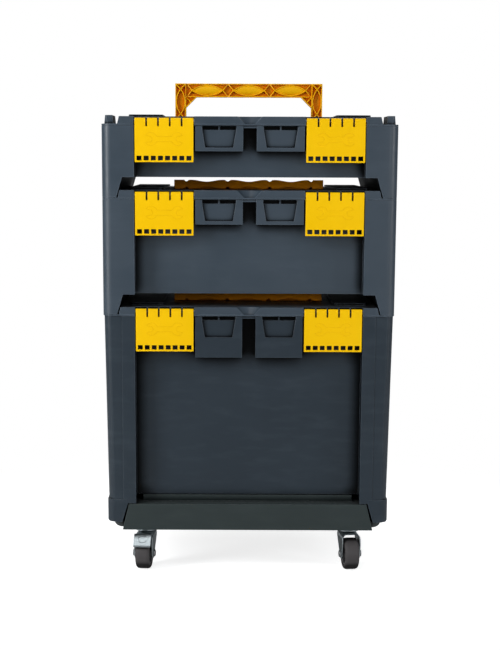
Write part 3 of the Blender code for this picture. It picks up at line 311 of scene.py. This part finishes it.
def plastic(name, dark, light, rough, grain_size, grain_depth, painted_shade=(0.3, 0.3, 0.3), reach=0.02,
            edge_highlight=0.9, dust=0.0, scuff=0.2, shine=0.4, deep_painted_shade=0.0, deep_painted_shade_tint=(0.1, 0.1, 0.1)):
    """Moulded plastic that varies between a dark and a light shade. Shade is painted in as a tint where little
    light gets in, over a given reach, and as a second tint deep inside the gaps of the stack; a highlight is
    painted along sharp edges."""
    made, tree, shader = blank_material(name)
    place = tree.nodes.new("ShaderNodeTexCoord").outputs["Object"]
    grain = tree.nodes.new("ShaderNodeGroup")
    grain.node_tree = grain_group
    grain.inputs["Grain Scale"].default_value = grain_size
    grain.inputs["Flow Scale"].default_value = flow_scale
    shade_highlight_and_dust_masks = tree.nodes.new("ShaderNodeGroup")
    shade_highlight_and_dust_masks.node_tree = shade_highlight_and_dust_group
    shade_highlight_and_dust_masks.inputs["Reach"].default_value = reach
    shade_highlight_and_dust_masks.inputs["Edge Radius"].default_value = edge_reach
    tree.links.new(place, grain.inputs["Vector"])
    tree.links.new(place, shade_highlight_and_dust_masks.inputs["Vector"])
    # How closed a spot is to the light: this is where painted shade goes.
    closed = tree.nodes.new("ShaderNodeMath")
    closed.operation = "SUBTRACT"
    closed.inputs[0].default_value = 1
    tree.links.new(shade_highlight_and_dust_masks.outputs["Open"], closed.inputs[1])

    scuffed = [min(1.0, c * 1.3 + 0.02) for c in light]
    # A much lighter shade, painted along the sharp edges as a highlight.
    edge_highlight_colour = [min(1.0, c * 3.0 + 0.10) for c in light]
    colour = mixed(tree, (*dark, 1), (*light, 1), grain.outputs["Flow"])
    # Layered on top: scuffs, painted shade where little light gets in, deeper painted shade in the gaps of the
    # stack, painted highlights along sharp edges, and dust.
    for layer, mask, amount, kind in (
            (scuffed, grain.outputs["Scuffs"], scuff, "MIX"),
            (painted_shade, closed.outputs[0], 1.0, "MULTIPLY"),
            (deep_painted_shade_tint, shade_highlight_and_dust_masks.outputs["Enclosed"], deep_painted_shade, "MULTIPLY"),
            (edge_highlight_colour, shade_highlight_and_dust_masks.outputs["Edge"], edge_highlight, "MIX"),
            (dust_colour, shade_highlight_and_dust_masks.outputs["Dust"], dust, "MIX")):
        colour = mixed(tree, colour, (*layer, 1), product(tree, mask, amount), kind)
    # The reflection is painted weaker where little light gets in: painted shade on the specular level.
    sheen_painted_darker_in_shade = ranged(tree, shade_highlight_and_dust_masks.outputs["Open"], 0.0, 1.0, shine * 0.25, shine)
    gloss = ranged(tree, grain.outputs["Flow"], 0.3, 0.7, rough - 0.05, rough + 0.07)
    tree.links.new(colour, shader.inputs["Base Color"])
    tree.links.new(sheen_painted_darker_in_shade, shader.inputs["Specular IOR Level"])
    tree.links.new(gloss, shader.inputs["Roughness"])
    emboss(tree, shader, grain.outputs["Grain"], 0.3, grain_depth)
    return made


# Both get painted shade in their recesses and deep in the gaps of the stack, and painted highlights along sharp
# edges.
shell_plastic = plastic("shell plastic", (0.031, 0.047, 0.065), (0.040, 0.059, 0.081),
                        0.40, 2600, 0.00005, painted_shade=(0.08, 0.08, 0.08), reach=0.022,
                        dust=0.12, shine=0.5, deep_painted_shade=1.0)
deep_plastic = plastic("deep box plastic", (0.0145, 0.0240, 0.0345), (0.019, 0.031, 0.044),
                       0.42, 2600, 0.00005, painted_shade=(0.1, 0.1, 0.1), reach=0.03,
                       dust=0.12, scuff=0.34, shine=0.36, deep_painted_shade=1.0)


def softened(made, width, crease):
    """A rounding of the edges that turn by more than the crease, in degrees; not yet applied."""
    edge = made.modifiers.new("edges", "BEVEL")
    edge.limit_method = "ANGLE"
    edge.angle_limit = math.radians(crease)
    edge.width = width
    edge.segments = 2
    return edge


def rounded_copy(node, radius, reshape=None):
    """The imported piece's surface, merged, with its edges rounded off as the mould leaves them.
    reshape gives the shift of a corner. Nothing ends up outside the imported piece's box."""
    form = bmesh.new()
    form.from_mesh(frame["nodes"][node].data)
    bmesh.ops.remove_doubles(form, verts=form.verts, dist=0.00001)
    bmesh.ops.dissolve_limit(form, angle_limit=math.radians(0.5), verts=form.verts, edges=form.edges)
    if reshape:
        for vertex in form.verts:
            vertex.co += Vector(reshape(vertex.co))
    bmesh.ops.triangulate(form, faces=[face for face in form.faces if len(face.verts) > 4])
    mesh = bpy.data.meshes.new(node + "_moulding")
    form.to_mesh(mesh)
    form.free()
    made = placed(node + "_moulding", mesh)
    edge = softened(made, radius, 32)
    edge.use_clamp_overlap = False
    edge.miter_outer = "MITER_ARC"
    bpy.ops.object.modifier_apply(modifier="edges")
    low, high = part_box(node)
    for vertex in made.data.vertices:
        vertex.co = [min(max(value, least), most)
                     for value, least, most in zip(vertex.co, low, high)]
    bpy.ops.object.shade_smooth_by_angle(angle=math.radians(40))
    flat = made.modifiers.new("flat faces", "WEIGHTED_NORMAL")
    flat.keep_sharp = True
    bpy.ops.object.modifier_apply(modifier="flat faces")
    return made


def stand_in(made, node, material):
    """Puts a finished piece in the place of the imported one, on the body that carries it."""
    if material:
        made.data.materials.clear()
        made.data.materials.append(material)
    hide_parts(node)
    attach(made, body_of_node[node])


rod_of = {joint["child"].split("_")[0]: Vector(joint["pos_m"]) for joint in frame["joints"]
          if joint["child"].endswith("_latch_left")}
rod_above_seam, latch_reach = 0.007, 0.028
rib_inside, rib_outside, rib_front, rib_setback = 0.0030, 0.0042, 0.0012, 0.0013
boss_top_in, boss_foot_in, boss_top_out = 0.0040, 0.0052, 0.0018


def lid_shape(seam, half, rod, uncovered):
    """Hinge ribs that stand a little further back between the latch fingers and, on the lid that
    carries no box, locating bosses as wide as they look on the real one."""
    inner, flange_top, boss_top = half - 0.013, seam + 0.0025, seam + 0.010

    def shift(co):
        distance = math.hypot(co.y - rod.y, co.z - rod.z)
        if (abs(abs(co.x) - abs(rod.x)) < latch_reach and co.y < rod.y - rib_front
                and rib_inside < distance < rib_outside):
            return (0, rib_setback, 0)
        out = 0.0
        if uncovered and abs(abs(co.x) - inner) < 0.0003 and co.z > flange_top - 0.0001:
            out = -boss_top_in if co.z > boss_top else -boss_foot_in
        elif uncovered and co.z > boss_top and abs(co.x) > inner:
            out = boss_top_out
        return (out if co.x > 0 else -out, 0, 0)
    return shift


for level in levels:
    body, lid = level + "_body", level + "_lid"
    seam, half = rod_of[level].z - rod_above_seam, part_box(lid)[1][0]
    ribs_and_bosses = lid_shape(seam, half, rod_of[level], level == "top")
    body_plastic = deep_plastic if level == "bottom" else shell_plastic
    stand_in(rounded_copy(body, 0.0003), body, body_plastic)
    stand_in(rounded_copy(lid, 0.0003, ribs_and_bosses), lid, shell_plastic)


# ------------------------------------------------------------------ latches
# Yellow polypropylene clamps: five hinge fingers at the top, a row of square windows along the
# grip edge at the bottom. They snap over a ledge on the box and turn on a steel rod in the lid.
# Painted shade, in a brownish tint, darkens the latch where little light gets in.
latch_plastic = plastic("latch yellow", (0.88, 0.52, 0.001), (0.97, 0.58, 0.002),
                        0.38, 3000, 0.00003, painted_shade=(0.75, 0.55, 0.3), reach=0.004,
                        edge_highlight=0.0, scuff=0.03, shine=0.1)
hole_pitch, hole_size, hole_edge = 0.01065, 0.0065, 0.0026
holes_end, tolerance = 4 * hole_pitch, 0.0002
wider_by, taller_by = 0.0005, 0.0003
back_inside, back_outside, slimmer_by = 0.0043, 0.0047, 0.18
emblem_height, emblem_depth, emblem_line, emblem_sunk = 0.034, 0.0009, 0.0007, 0.0002


def curve_sheet(name, loops, closed, depth):
    """Outlines in X and Z: a filled plate, or a ribbon of the same depth along Y."""
    data = bpy.data.curves.new(name, "CURVE")
    data.dimensions = "2D" if closed else "3D"
    for loop in loops:
        spline = data.splines.new("POLY")
        spline.points.add(len(loop) - 1)
        for point, (x, z) in zip(spline.points, loop):
            point.co = (x, z, 0, 1)
        spline.use_cyclic_u = closed
    data.fill_mode = "BOTH" if closed else "FULL"
    data.extrude = depth / 2
    made = placed(name, data)
    made.rotation_euler = (math.radians(90), 0, 0)
    bpy.ops.object.convert(target="MESH")
    bpy.ops.object.transform_apply(location=True, rotation=True, scale=True)
    return bpy.context.object


def ribbon_walls(name, paths, depth, thickness):
    """Ribs: open paths in X and Z, given their depth along Y and a wall thickness."""
    made = curve_sheet(name, paths, False, depth)
    wall = made.modifiers.new("wall", "SOLIDIFY")
    wall.thickness = thickness
    wall.offset = 0
    wall.use_even_offset = True
    bpy.ops.object.modifier_apply(modifier="wall")
    softened(made, 0.0003, 50)
    bpy.ops.object.modifier_apply(modifier="edges")
    return made


def join(parts, name):
    """Several objects as one, which takes the place of the first."""
    bpy.ops.object.select_all(action="DESELECT")
    for part in parts:
        part.select_set(True)
    bpy.context.view_layer.objects.active = parts[0]
    bpy.ops.object.join()
    parts[0].name = name
    return parts[0]


def clamp_shape(foot, centre, rod):
    """Wider grip windows with thin bars, and finger backs that clear the lid when it is open."""
    sill = foot + hole_edge
    head = sill + hole_size

    def shift(co):
        from_rod = Vector((0, co.y - rod.y, co.z - rod.z))
        if from_rod.y > 0.0005 and back_inside < from_rod.length < back_outside:
            return from_rod * -slimmer_by
        place = (co.x - centre) / hole_pitch + 0.5
        off = (place - round(place)) * hole_pitch
        at_window = (sill - tolerance < co.z < head + tolerance
                     and abs(co.x - centre) <= holes_end)
        if not at_window or abs(abs(off) - hole_size / 2) > tolerance:
            return (0, 0, 0)
        upper = co.z > sill + hole_size / 2
        return (math.copysign(wider_by, off), 0, taller_by if upper else 0)
    return shift


def spanner_outline(centre, level, reach=0.020, head=0.0095, neck=0.0038):
    """A plain double-ended spanner as a closed line around the given middle."""
    join_turn, jaw_turn = math.degrees(math.asin(neck / head)), 34
    half = [(math.cos(math.radians(turn)) * head, math.sin(math.radians(turn)) * head)
            for turn in range(round(180 - join_turn), jaw_turn - 1, -6)]
    jaw = [(0.0035, 0.0042), (-0.0005, 0.0040), (-0.0025, 0.0)]
    right = half + jaw
    right += [(x, -z) for x, z in reversed(right[:-1])]
    line = [(reach + x, z) for x, z in right] + [(-reach - x, z) for x, z in reversed(right)]
    return [(centre + x, level + z) for x, z in line + line[:1]]


for level in levels:
    for side in ("left", "right"):
        node = level + "_latch_" + side
        low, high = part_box(node)
        centre = (low[0] + high[0]) / 2
        clamp = rounded_copy(node, 0.0004, clamp_shape(low[2], centre, rod_of[level]))
        motif = spanner_outline(centre, low[2] + emblem_height)
        emblem = ribbon_walls("emblem", [motif], emblem_depth, emblem_line)
        emblem.data.transform(Matrix.Translation((0, low[1] + emblem_sunk, 0)))
        stand_in(join([clamp, emblem], node + "_clamp"), node, latch_plastic)


# ------------------------------------------------------------------ rods and hinge pins
# Drawn steel wire, cut to length. The rods are pressed into the lids' ribs and carry the latches;
# the pins join the knuckles of body and lid at the rear.
def metal(name, colour, rough, spangle_scale):
    """Metal with a cloudy tone and gloss, and a faint crystal pattern."""
    made, tree, shader = blank_material(name)
    shader.inputs["Metallic"].default_value = 1.0
    place = tree.nodes.new("ShaderNodeTexCoord").outputs["Object"]
    spangle = tree.nodes.new("ShaderNodeTexVoronoi")
    spangle.inputs["Scale"].default_value = spangle_scale
    tree.links.new(place, spangle.inputs["Vector"])
    cloud = noise(tree, place, spangle_scale * 0.35, 4)
    tone = mixed(tree, (*[c * 0.82 for c in colour], 1), (*colour, 1), cloud)
    gloss = ranged(tree, cloud, 0.0, 1.0, rough - 0.07, rough + 0.12)
    tree.links.new(tone, shader.inputs["Base Color"])
    tree.links.new(gloss, shader.inputs["Roughness"])
    emboss(tree, shader, spangle.outputs["Distance"], 0.15, 0.0001)
    return made


drawn_steel = metal("drawn steel", (0.3, 0.31, 0.32), 0.34, 1200)


def turned(name, outline, along, at, edge=0.0003, steps=56):
    """A turned piece: half of its section, as radius and height, swept around an axis."""
    data = bpy.data.curves.new(name, "CURVE")
    data.dimensions = "3D"
    spline = data.splines.new("POLY")
    spline.points.add(len(outline) - 1)
    for point, (radius, height) in zip(spline.points, outline):
        point.co = (radius, 0, height, 1)
    spline.use_cyclic_u = outline[0][0] > 0
    placed(name, data)
    bpy.ops.object.convert(target="MESH")
    made = bpy.context.object
    sweep = made.modifiers.new("sweep", "SCREW")
    sweep.steps = sweep.render_steps = steps
    sweep.use_merge_vertices = True
    sweep.merge_threshold = 0.00001
    bpy.ops.object.modifier_apply(modifier="sweep")
    bpy.ops.object.mode_set(mode="EDIT")
    bpy.ops.mesh.select_all(action="SELECT")
    bpy.ops.mesh.remove_doubles(threshold=0.00001)
    bpy.ops.mesh.normals_make_consistent(inside=False)
    bpy.ops.object.mode_set(mode="OBJECT")
    softened(made, edge, 25)
    bpy.ops.object.modifier_apply(modifier="edges")
    bpy.ops.object.shade_smooth_by_angle(angle=math.radians(35))
    turn = Vector((0, 0, 1)).rotation_difference(Vector(along)).to_matrix().to_4x4()
    made.data.transform(Matrix.Translation(at) @ turn)
    return made


for level in levels:
    for kind in ("latch_rod", "hinge_pin"):
        for side in ("left", "right"):
            node = f"{level}_{kind}_{side}"
            low, high = (Vector(corner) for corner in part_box(node))
            half, radius = (high.x - low.x) / 2, (high.z - low.z) / 2
            section = [(0, -half), (radius, -half), (radius, half), (0, half)]
            rod = turned(node + "_wire", section, (1, 0, 0), (low + high) / 2, steps=32)
            stand_in(rod, node, drawn_steel)


# ------------------------------------------------------------------ handles
# Folding grips moulded in amber yellow, which turn on two trunnions in the lid. Thin ribs on a
# central web wave from edge to edge and cross at the tips of pointed ovals; the bar is scooped out
# at its three ovals, notched between them, and filled up to a shallow dish inside each.
# Painted shade tints the grip a little darker where little light gets in, and deeper orange inside the gaps of the
# stack.
handle_plastic = plastic("handle yellow", (0.88, 0.44, 0.001), (0.97, 0.52, 0.002),
                         0.36, 3000, 0.00003, painted_shade=(0.95, 0.9, 0.9), reach=0.006,
                         edge_highlight=0.0, scuff=0.03, shine=0.15, deep_painted_shade=1.0, deep_painted_shade_tint=(1.0, 0.66, 0.5))
# The web is the grip's yellow painted darker, as painted shade on the floors of the cells, with painted shade
# where little light gets in as well.
shaded_web_plastic = plastic("handle web painted darker", (0.62, 0.20, 0.001), (0.72, 0.26, 0.001),
                      0.4, 3000, 0.00003, painted_shade=(0.9, 0.7, 0.7), reach=0.004,
                      edge_highlight=0.0, scuff=0.0, shine=0.1)
pivot_of = {joint["child"]: Vector(joint["pos_m"]) for joint in frame["joints"]
            if joint["child"].endswith("_handle")}
folded_turn = math.radians(74.6)

# Sizes of a handle that stands up, measured from its pivot axis, with X across and Z up.
handle_half, leg_width, handle_reach, bar_height = 0.1175, 0.017, 0.066, 0.0215
inside_leg, leg_middle = handle_half - leg_width, handle_half - leg_width / 2
under_bar, bar_middle = handle_reach - bar_height, handle_reach - bar_height / 2
half_rib = 0.0008
top_rib, outer_rib = handle_reach - half_rib, handle_half - half_rib
oval_pitch, oval_half, oval_bulge = 0.0662, 0.0246, 0.0078
oval_middles = (-oval_pitch, 0.0, oval_pitch)
leg_oval_level, leg_oval_half, leg_oval_bulge = 0.0375, 0.0193, 0.0068
leg_rib_foot, leg_rib_side, rim_foot = 0.0105, 0.0075, 0.002
gusset, brace = 0.0166, 0.0085
lattice_depth, dish_depth, web_depth = 0.0139, 0.0117, 0.005
scoop_depth, notch_depth, notch_half = 0.0030, 0.0034, 0.0045
boss_radius, trunnion_radius, trunnion_length = 0.0069, 0.0035, leg_width + 0.005


def arch(middle, level, half, bulge, side, steps=14):
    """One side of a pointed oval: a shallow arc of the given half length and bulge."""
    radius = (half ** 2 + bulge ** 2) / (2 * bulge)
    spread = math.asin(half / radius)
    turns = [spread * (2 * k / steps - 1) for k in range(steps + 1)]
    return [(middle + radius * math.sin(turn),
             level + side * (radius * math.cos(turn) - radius + bulge)) for turn in turns]


def spaced(points, step=0.0025):
    """The same path with a point every few millimetres."""
    path = [points[0]]
    for (x0, z0), (x1, z1) in zip(points, points[1:]):
        count = max(1, math.ceil(math.hypot(x1 - x0, z1 - z0) / step))
        path += [(x0 + (x1 - x0) * k / count, z0 + (z1 - z0) * k / count)
                 for k in range(1, count + 1)]
    return path


def scoop(x, z):
    """How deep the bar's faces lie under the full thickness at this place."""
    if z < under_bar - 0.002 or abs(x) > inside_leg:
        return 0.0
    nearest = min(oval_middles, key=lambda middle: abs(x - middle))
    share = abs(x - nearest) / oval_half
    if share < 1:
        return scoop_depth * math.cos(share * math.pi / 2) ** 2
    notch = min(abs(abs(x) - oval_pitch / 2), abs(abs(x) - (inside_leg - 0.002)))
    return notch_depth * max(0.0, 1 - notch / notch_half)


# The waving ribs of the bar, the ribs of each leg, then the outer and the inner rim.
paths = []
rise, far = bar_height / 2 - half_rib, oval_pitch / 2
for middle in oval_middles:
    for side in (-1, 1):
        tip = bar_middle - side * rise
        wave = arch(middle, bar_middle, oval_half, oval_bulge, side)
        paths.append([(middle - far, tip)] + wave + [(middle + far, tip)])
for side in (-1, 1):
    for lean in (-1, 1):
        start = side * leg_middle - lean * leg_rib_side
        arc = arch(leg_oval_level, 0, leg_oval_half, leg_oval_bulge, lean)
        wave = [(side * leg_middle + z, x) for x, z in arc]
        paths.append([(start, leg_rib_foot)] + wave + [(start, top_rib)])
    edge = side * (inside_leg + 0.0003)
    paths.append([(edge, 0.004), (edge, top_rib)])
    paths.append([(side * (inside_leg - 0.0008), under_bar - 0.0005),
                  (side * (inside_leg - brace), under_bar - brace)])
    paths.append([(side * inside_leg, under_bar + half_rib),
                  (side * (inside_leg - 0.017), under_bar + half_rib)])
paths.append([(outer_rib, rim_foot), (outer_rib, top_rib),
              (-outer_rib, top_rib), (-outer_rib, rim_foot)])
lower = [(inside_leg + half_rib, rim_foot), (inside_leg + half_rib, under_bar - gusset),
         (inside_leg - gusset, under_bar + half_rib)]
paths.append(lower + [(-x, z) for x, z in reversed(lower)])
lattice = ribbon_walls("lattice", [spaced(path) for path in paths], lattice_depth, 2 * half_rib)

outline = lower[::-1] + [(outer_rib, 0.003), (outer_rib, top_rib)]
web_loop = outline + [(-x, z) for x, z in reversed(outline)]
web = curve_sheet("web", [web_loop], True, web_depth)
dishes = []
for middle in oval_middles:
    upper, under = (arch(middle, bar_middle, oval_half - 0.001, oval_bulge - 0.0004, side)
                    for side in (1, -1))
    dishes.append(curve_sheet("dish", [upper + under[::-1][1:-1]], True, dish_depth))
trunnions = []
for side in (-1, 1):
    for radius, length in ((boss_radius, leg_width), (trunnion_radius, trunnion_length)):
        bpy.ops.mesh.primitive_cylinder_add(vertices=40, radius=radius, depth=length,
                                            location=(side * leg_middle, 0, 0),
                                            rotation=(0, math.radians(90), 0))
        trunnions.append(bpy.context.object)
        bpy.ops.object.transform_apply(location=True, rotation=True, scale=True)
for part in (lattice, web, *dishes, *trunnions):
    part.data.materials.clear()
    part.data.materials.append(shaded_web_plastic if part == web else handle_plastic)
for part in (lattice, *dishes):
    for vertex in part.data.vertices:
        if abs(vertex.co.y) > 0.004:
            vertex.co.y -= math.copysign(scoop(vertex.co.x, vertex.co.z), vertex.co.y)
grip = join([lattice, web, *dishes, *trunnions], "grip")
bpy.ops.object.shade_smooth_by_angle(angle=math.radians(35))
for level in levels:
    node = level + "_handle"
    made = placed(node + "_grip", grip.data.copy())
    lean = 0 if level == "top" else folded_turn
    made.data.transform(Matrix.Translation(pivot_of[node]) @ Matrix.Rotation(lean, 4, "X"))
    stand_in(made, node, None)
bpy.data.objects.remove(grip)


# ------------------------------------------------------------------ dolly
# One moulding in a slightly greener grey with a coarser grain: a skirt that carries the foot
# rails of the lowest box, a raised deck between them, and ribs underneath.
# Painted shade darkens its recesses and the corners under the stack, and painted highlights lighten its sharp
# edges.
dolly_plastic = plastic("dolly plastic", (0.018, 0.028, 0.0285), (0.023, 0.035, 0.0355),
                        0.48, 1800, 0.00012, painted_shade=(0.35, 0.35, 0.35), reach=0.012,
                        dust=0.12, deep_painted_shade=0.6)
stand_in(rounded_copy("dolly_deck", 0.0006), "dolly_deck", dolly_plastic)


# ------------------------------------------------------------------ casters
# Plates, bearing rings, forks and brake pedals of bright zinc-plated steel, with kingpins and
# axles of plain steel; grey rubber tyres on moulded hubs. The plates are riveted under the dolly.
zinc = metal("bright zinc", (0.42, 0.47, 0.49), 0.33, 500)
# Both take the default painted shade where little light gets in and the default painted highlights along sharp
# edges.
rubber = plastic("tyre rubber", (0.05, 0.046, 0.047), (0.065, 0.06, 0.062), 0.66, 1500, 0.0001)
hub_plastic = plastic("hub plastic", (0.08, 0.08, 0.085), (0.1, 0.1, 0.105), 0.5, 1500, 0.0001)
joint_of = {joint["name"]: joint for joint in frame["joints"]}

# Sections in millimetres, as radius and height. Tyre, hub and axle are given from one side to
# their middle and mirrored; the heights of the bearing and the kingpin are above the floor.
mm = 0.001
tyre_half = [(17.3, 10), (19.6, 11.4), (21.6, 11.3), (23.5, 10.2), (24.6, 8.4), (25, 6)]
hub_half = [(4.3, 11.5), (8, 11.5), (9, 6), (14, 6), (15.5, 9.2), (17, 10)]
axle_half = [(0, 17.8), (4.6, 17.8), (5.8, 16.8), (5.8, 15.3), (4, 15.3)]
bearing_loop = [(5.3, 64.1), (13, 64.1), (15.6, 63.1), (17, 61.6), (17, 59.5), (15, 58.3),
                (5.3, 58.3)]
kingpin_line = [(0, 52.7), (5, 52.7), (7.5, 55.7), (5, 55.7), (5, 69.1), (0, 69.1)]
tread_out, tread_drop, tread_forward, tread_upward = 0.0157, 0.00175, 0.825, 0.565
ring_radius, ring_thickness, ring_stretch = 0.0052, 0.0007, (1.35, 1, 0.6, 1)


def metres(line):
    """The same section in metres."""
    return [(radius * mm, height * mm) for radius, height in line]


def whole(half):
    """Both halves of a section that is the same above and below its middle."""
    return metres(half) + [(radius * mm, -height * mm) for radius, height in reversed(half)]


for corner in ("front_left", "front_right", "rear_left", "rear_right"):
    spin, swivel = joint_of[corner + "_wheel_spin"], joint_of[corner + "_swivel"]
    centre, axle_way = spin["pos_m"], spin["axis"]
    foot = (swivel["pos_m"][0], swivel["pos_m"][1], 0)
    for kind, loop, along, at, finish, slot, edge in (
            ("tyre", whole(tyre_half), axle_way, centre, rubber, "tyre", 0.0005),
            ("wheel_hub", whole(hub_half), axle_way, centre, hub_plastic, "hub", 0.0003),
            ("axle", whole(axle_half), axle_way, centre, drawn_steel, "steel", 0.0003),
            ("bearing", metres(bearing_loop), (0, 0, 1), foot, zinc, "zinc", 0.0004),
            ("kingpin", metres(kingpin_line), (0, 0, 1), foot, drawn_steel, "steel", 0.0003)):
        node = f"{corner}_{kind}"
        stand_in(turned(node + "_turned", loop, along, at, edge), node, finish)
    for kind, radius in (("caster_plate", 0.0003), ("fork", 0.0006)):
        node = f"{corner}_{kind}"
        stand_in(rounded_copy(node, radius), node, zinc)

# A raised oval ring is pressed into the tread of each brake pedal.
for corner in ("front_left", "rear_right"):
    node = corner + "_brake_pedal"
    press = joint_of[corner + "_brake_press"]
    across, up = Vector(press["axis"]).normalized(), Vector((0, 0, 1))
    forward = Vector((across.y, -across.x, 0))
    outward = forward * tread_forward + up * tread_upward
    bpy.ops.object.select_all(action="DESELECT")
    bpy.ops.mesh.primitive_torus_add(major_radius=ring_radius, minor_radius=ring_thickness,
                                     major_segments=40, minor_segments=10)
    ring = bpy.context.object
    ring.data.transform(Matrix.Diagonal(ring_stretch))
    bpy.ops.object.shade_smooth()
    turn = Matrix((across, outward.cross(across), outward)).transposed().to_4x4()
    tread_middle = Vector(press["pos_m"]) + forward * tread_out - up * tread_drop
    ring.data.transform(Matrix.Translation(tread_middle) @ turn)
    pedal = rounded_copy(node, 0.0003)
    stand_in(join([pedal, ring], node + "_pressed"), node, zinc)
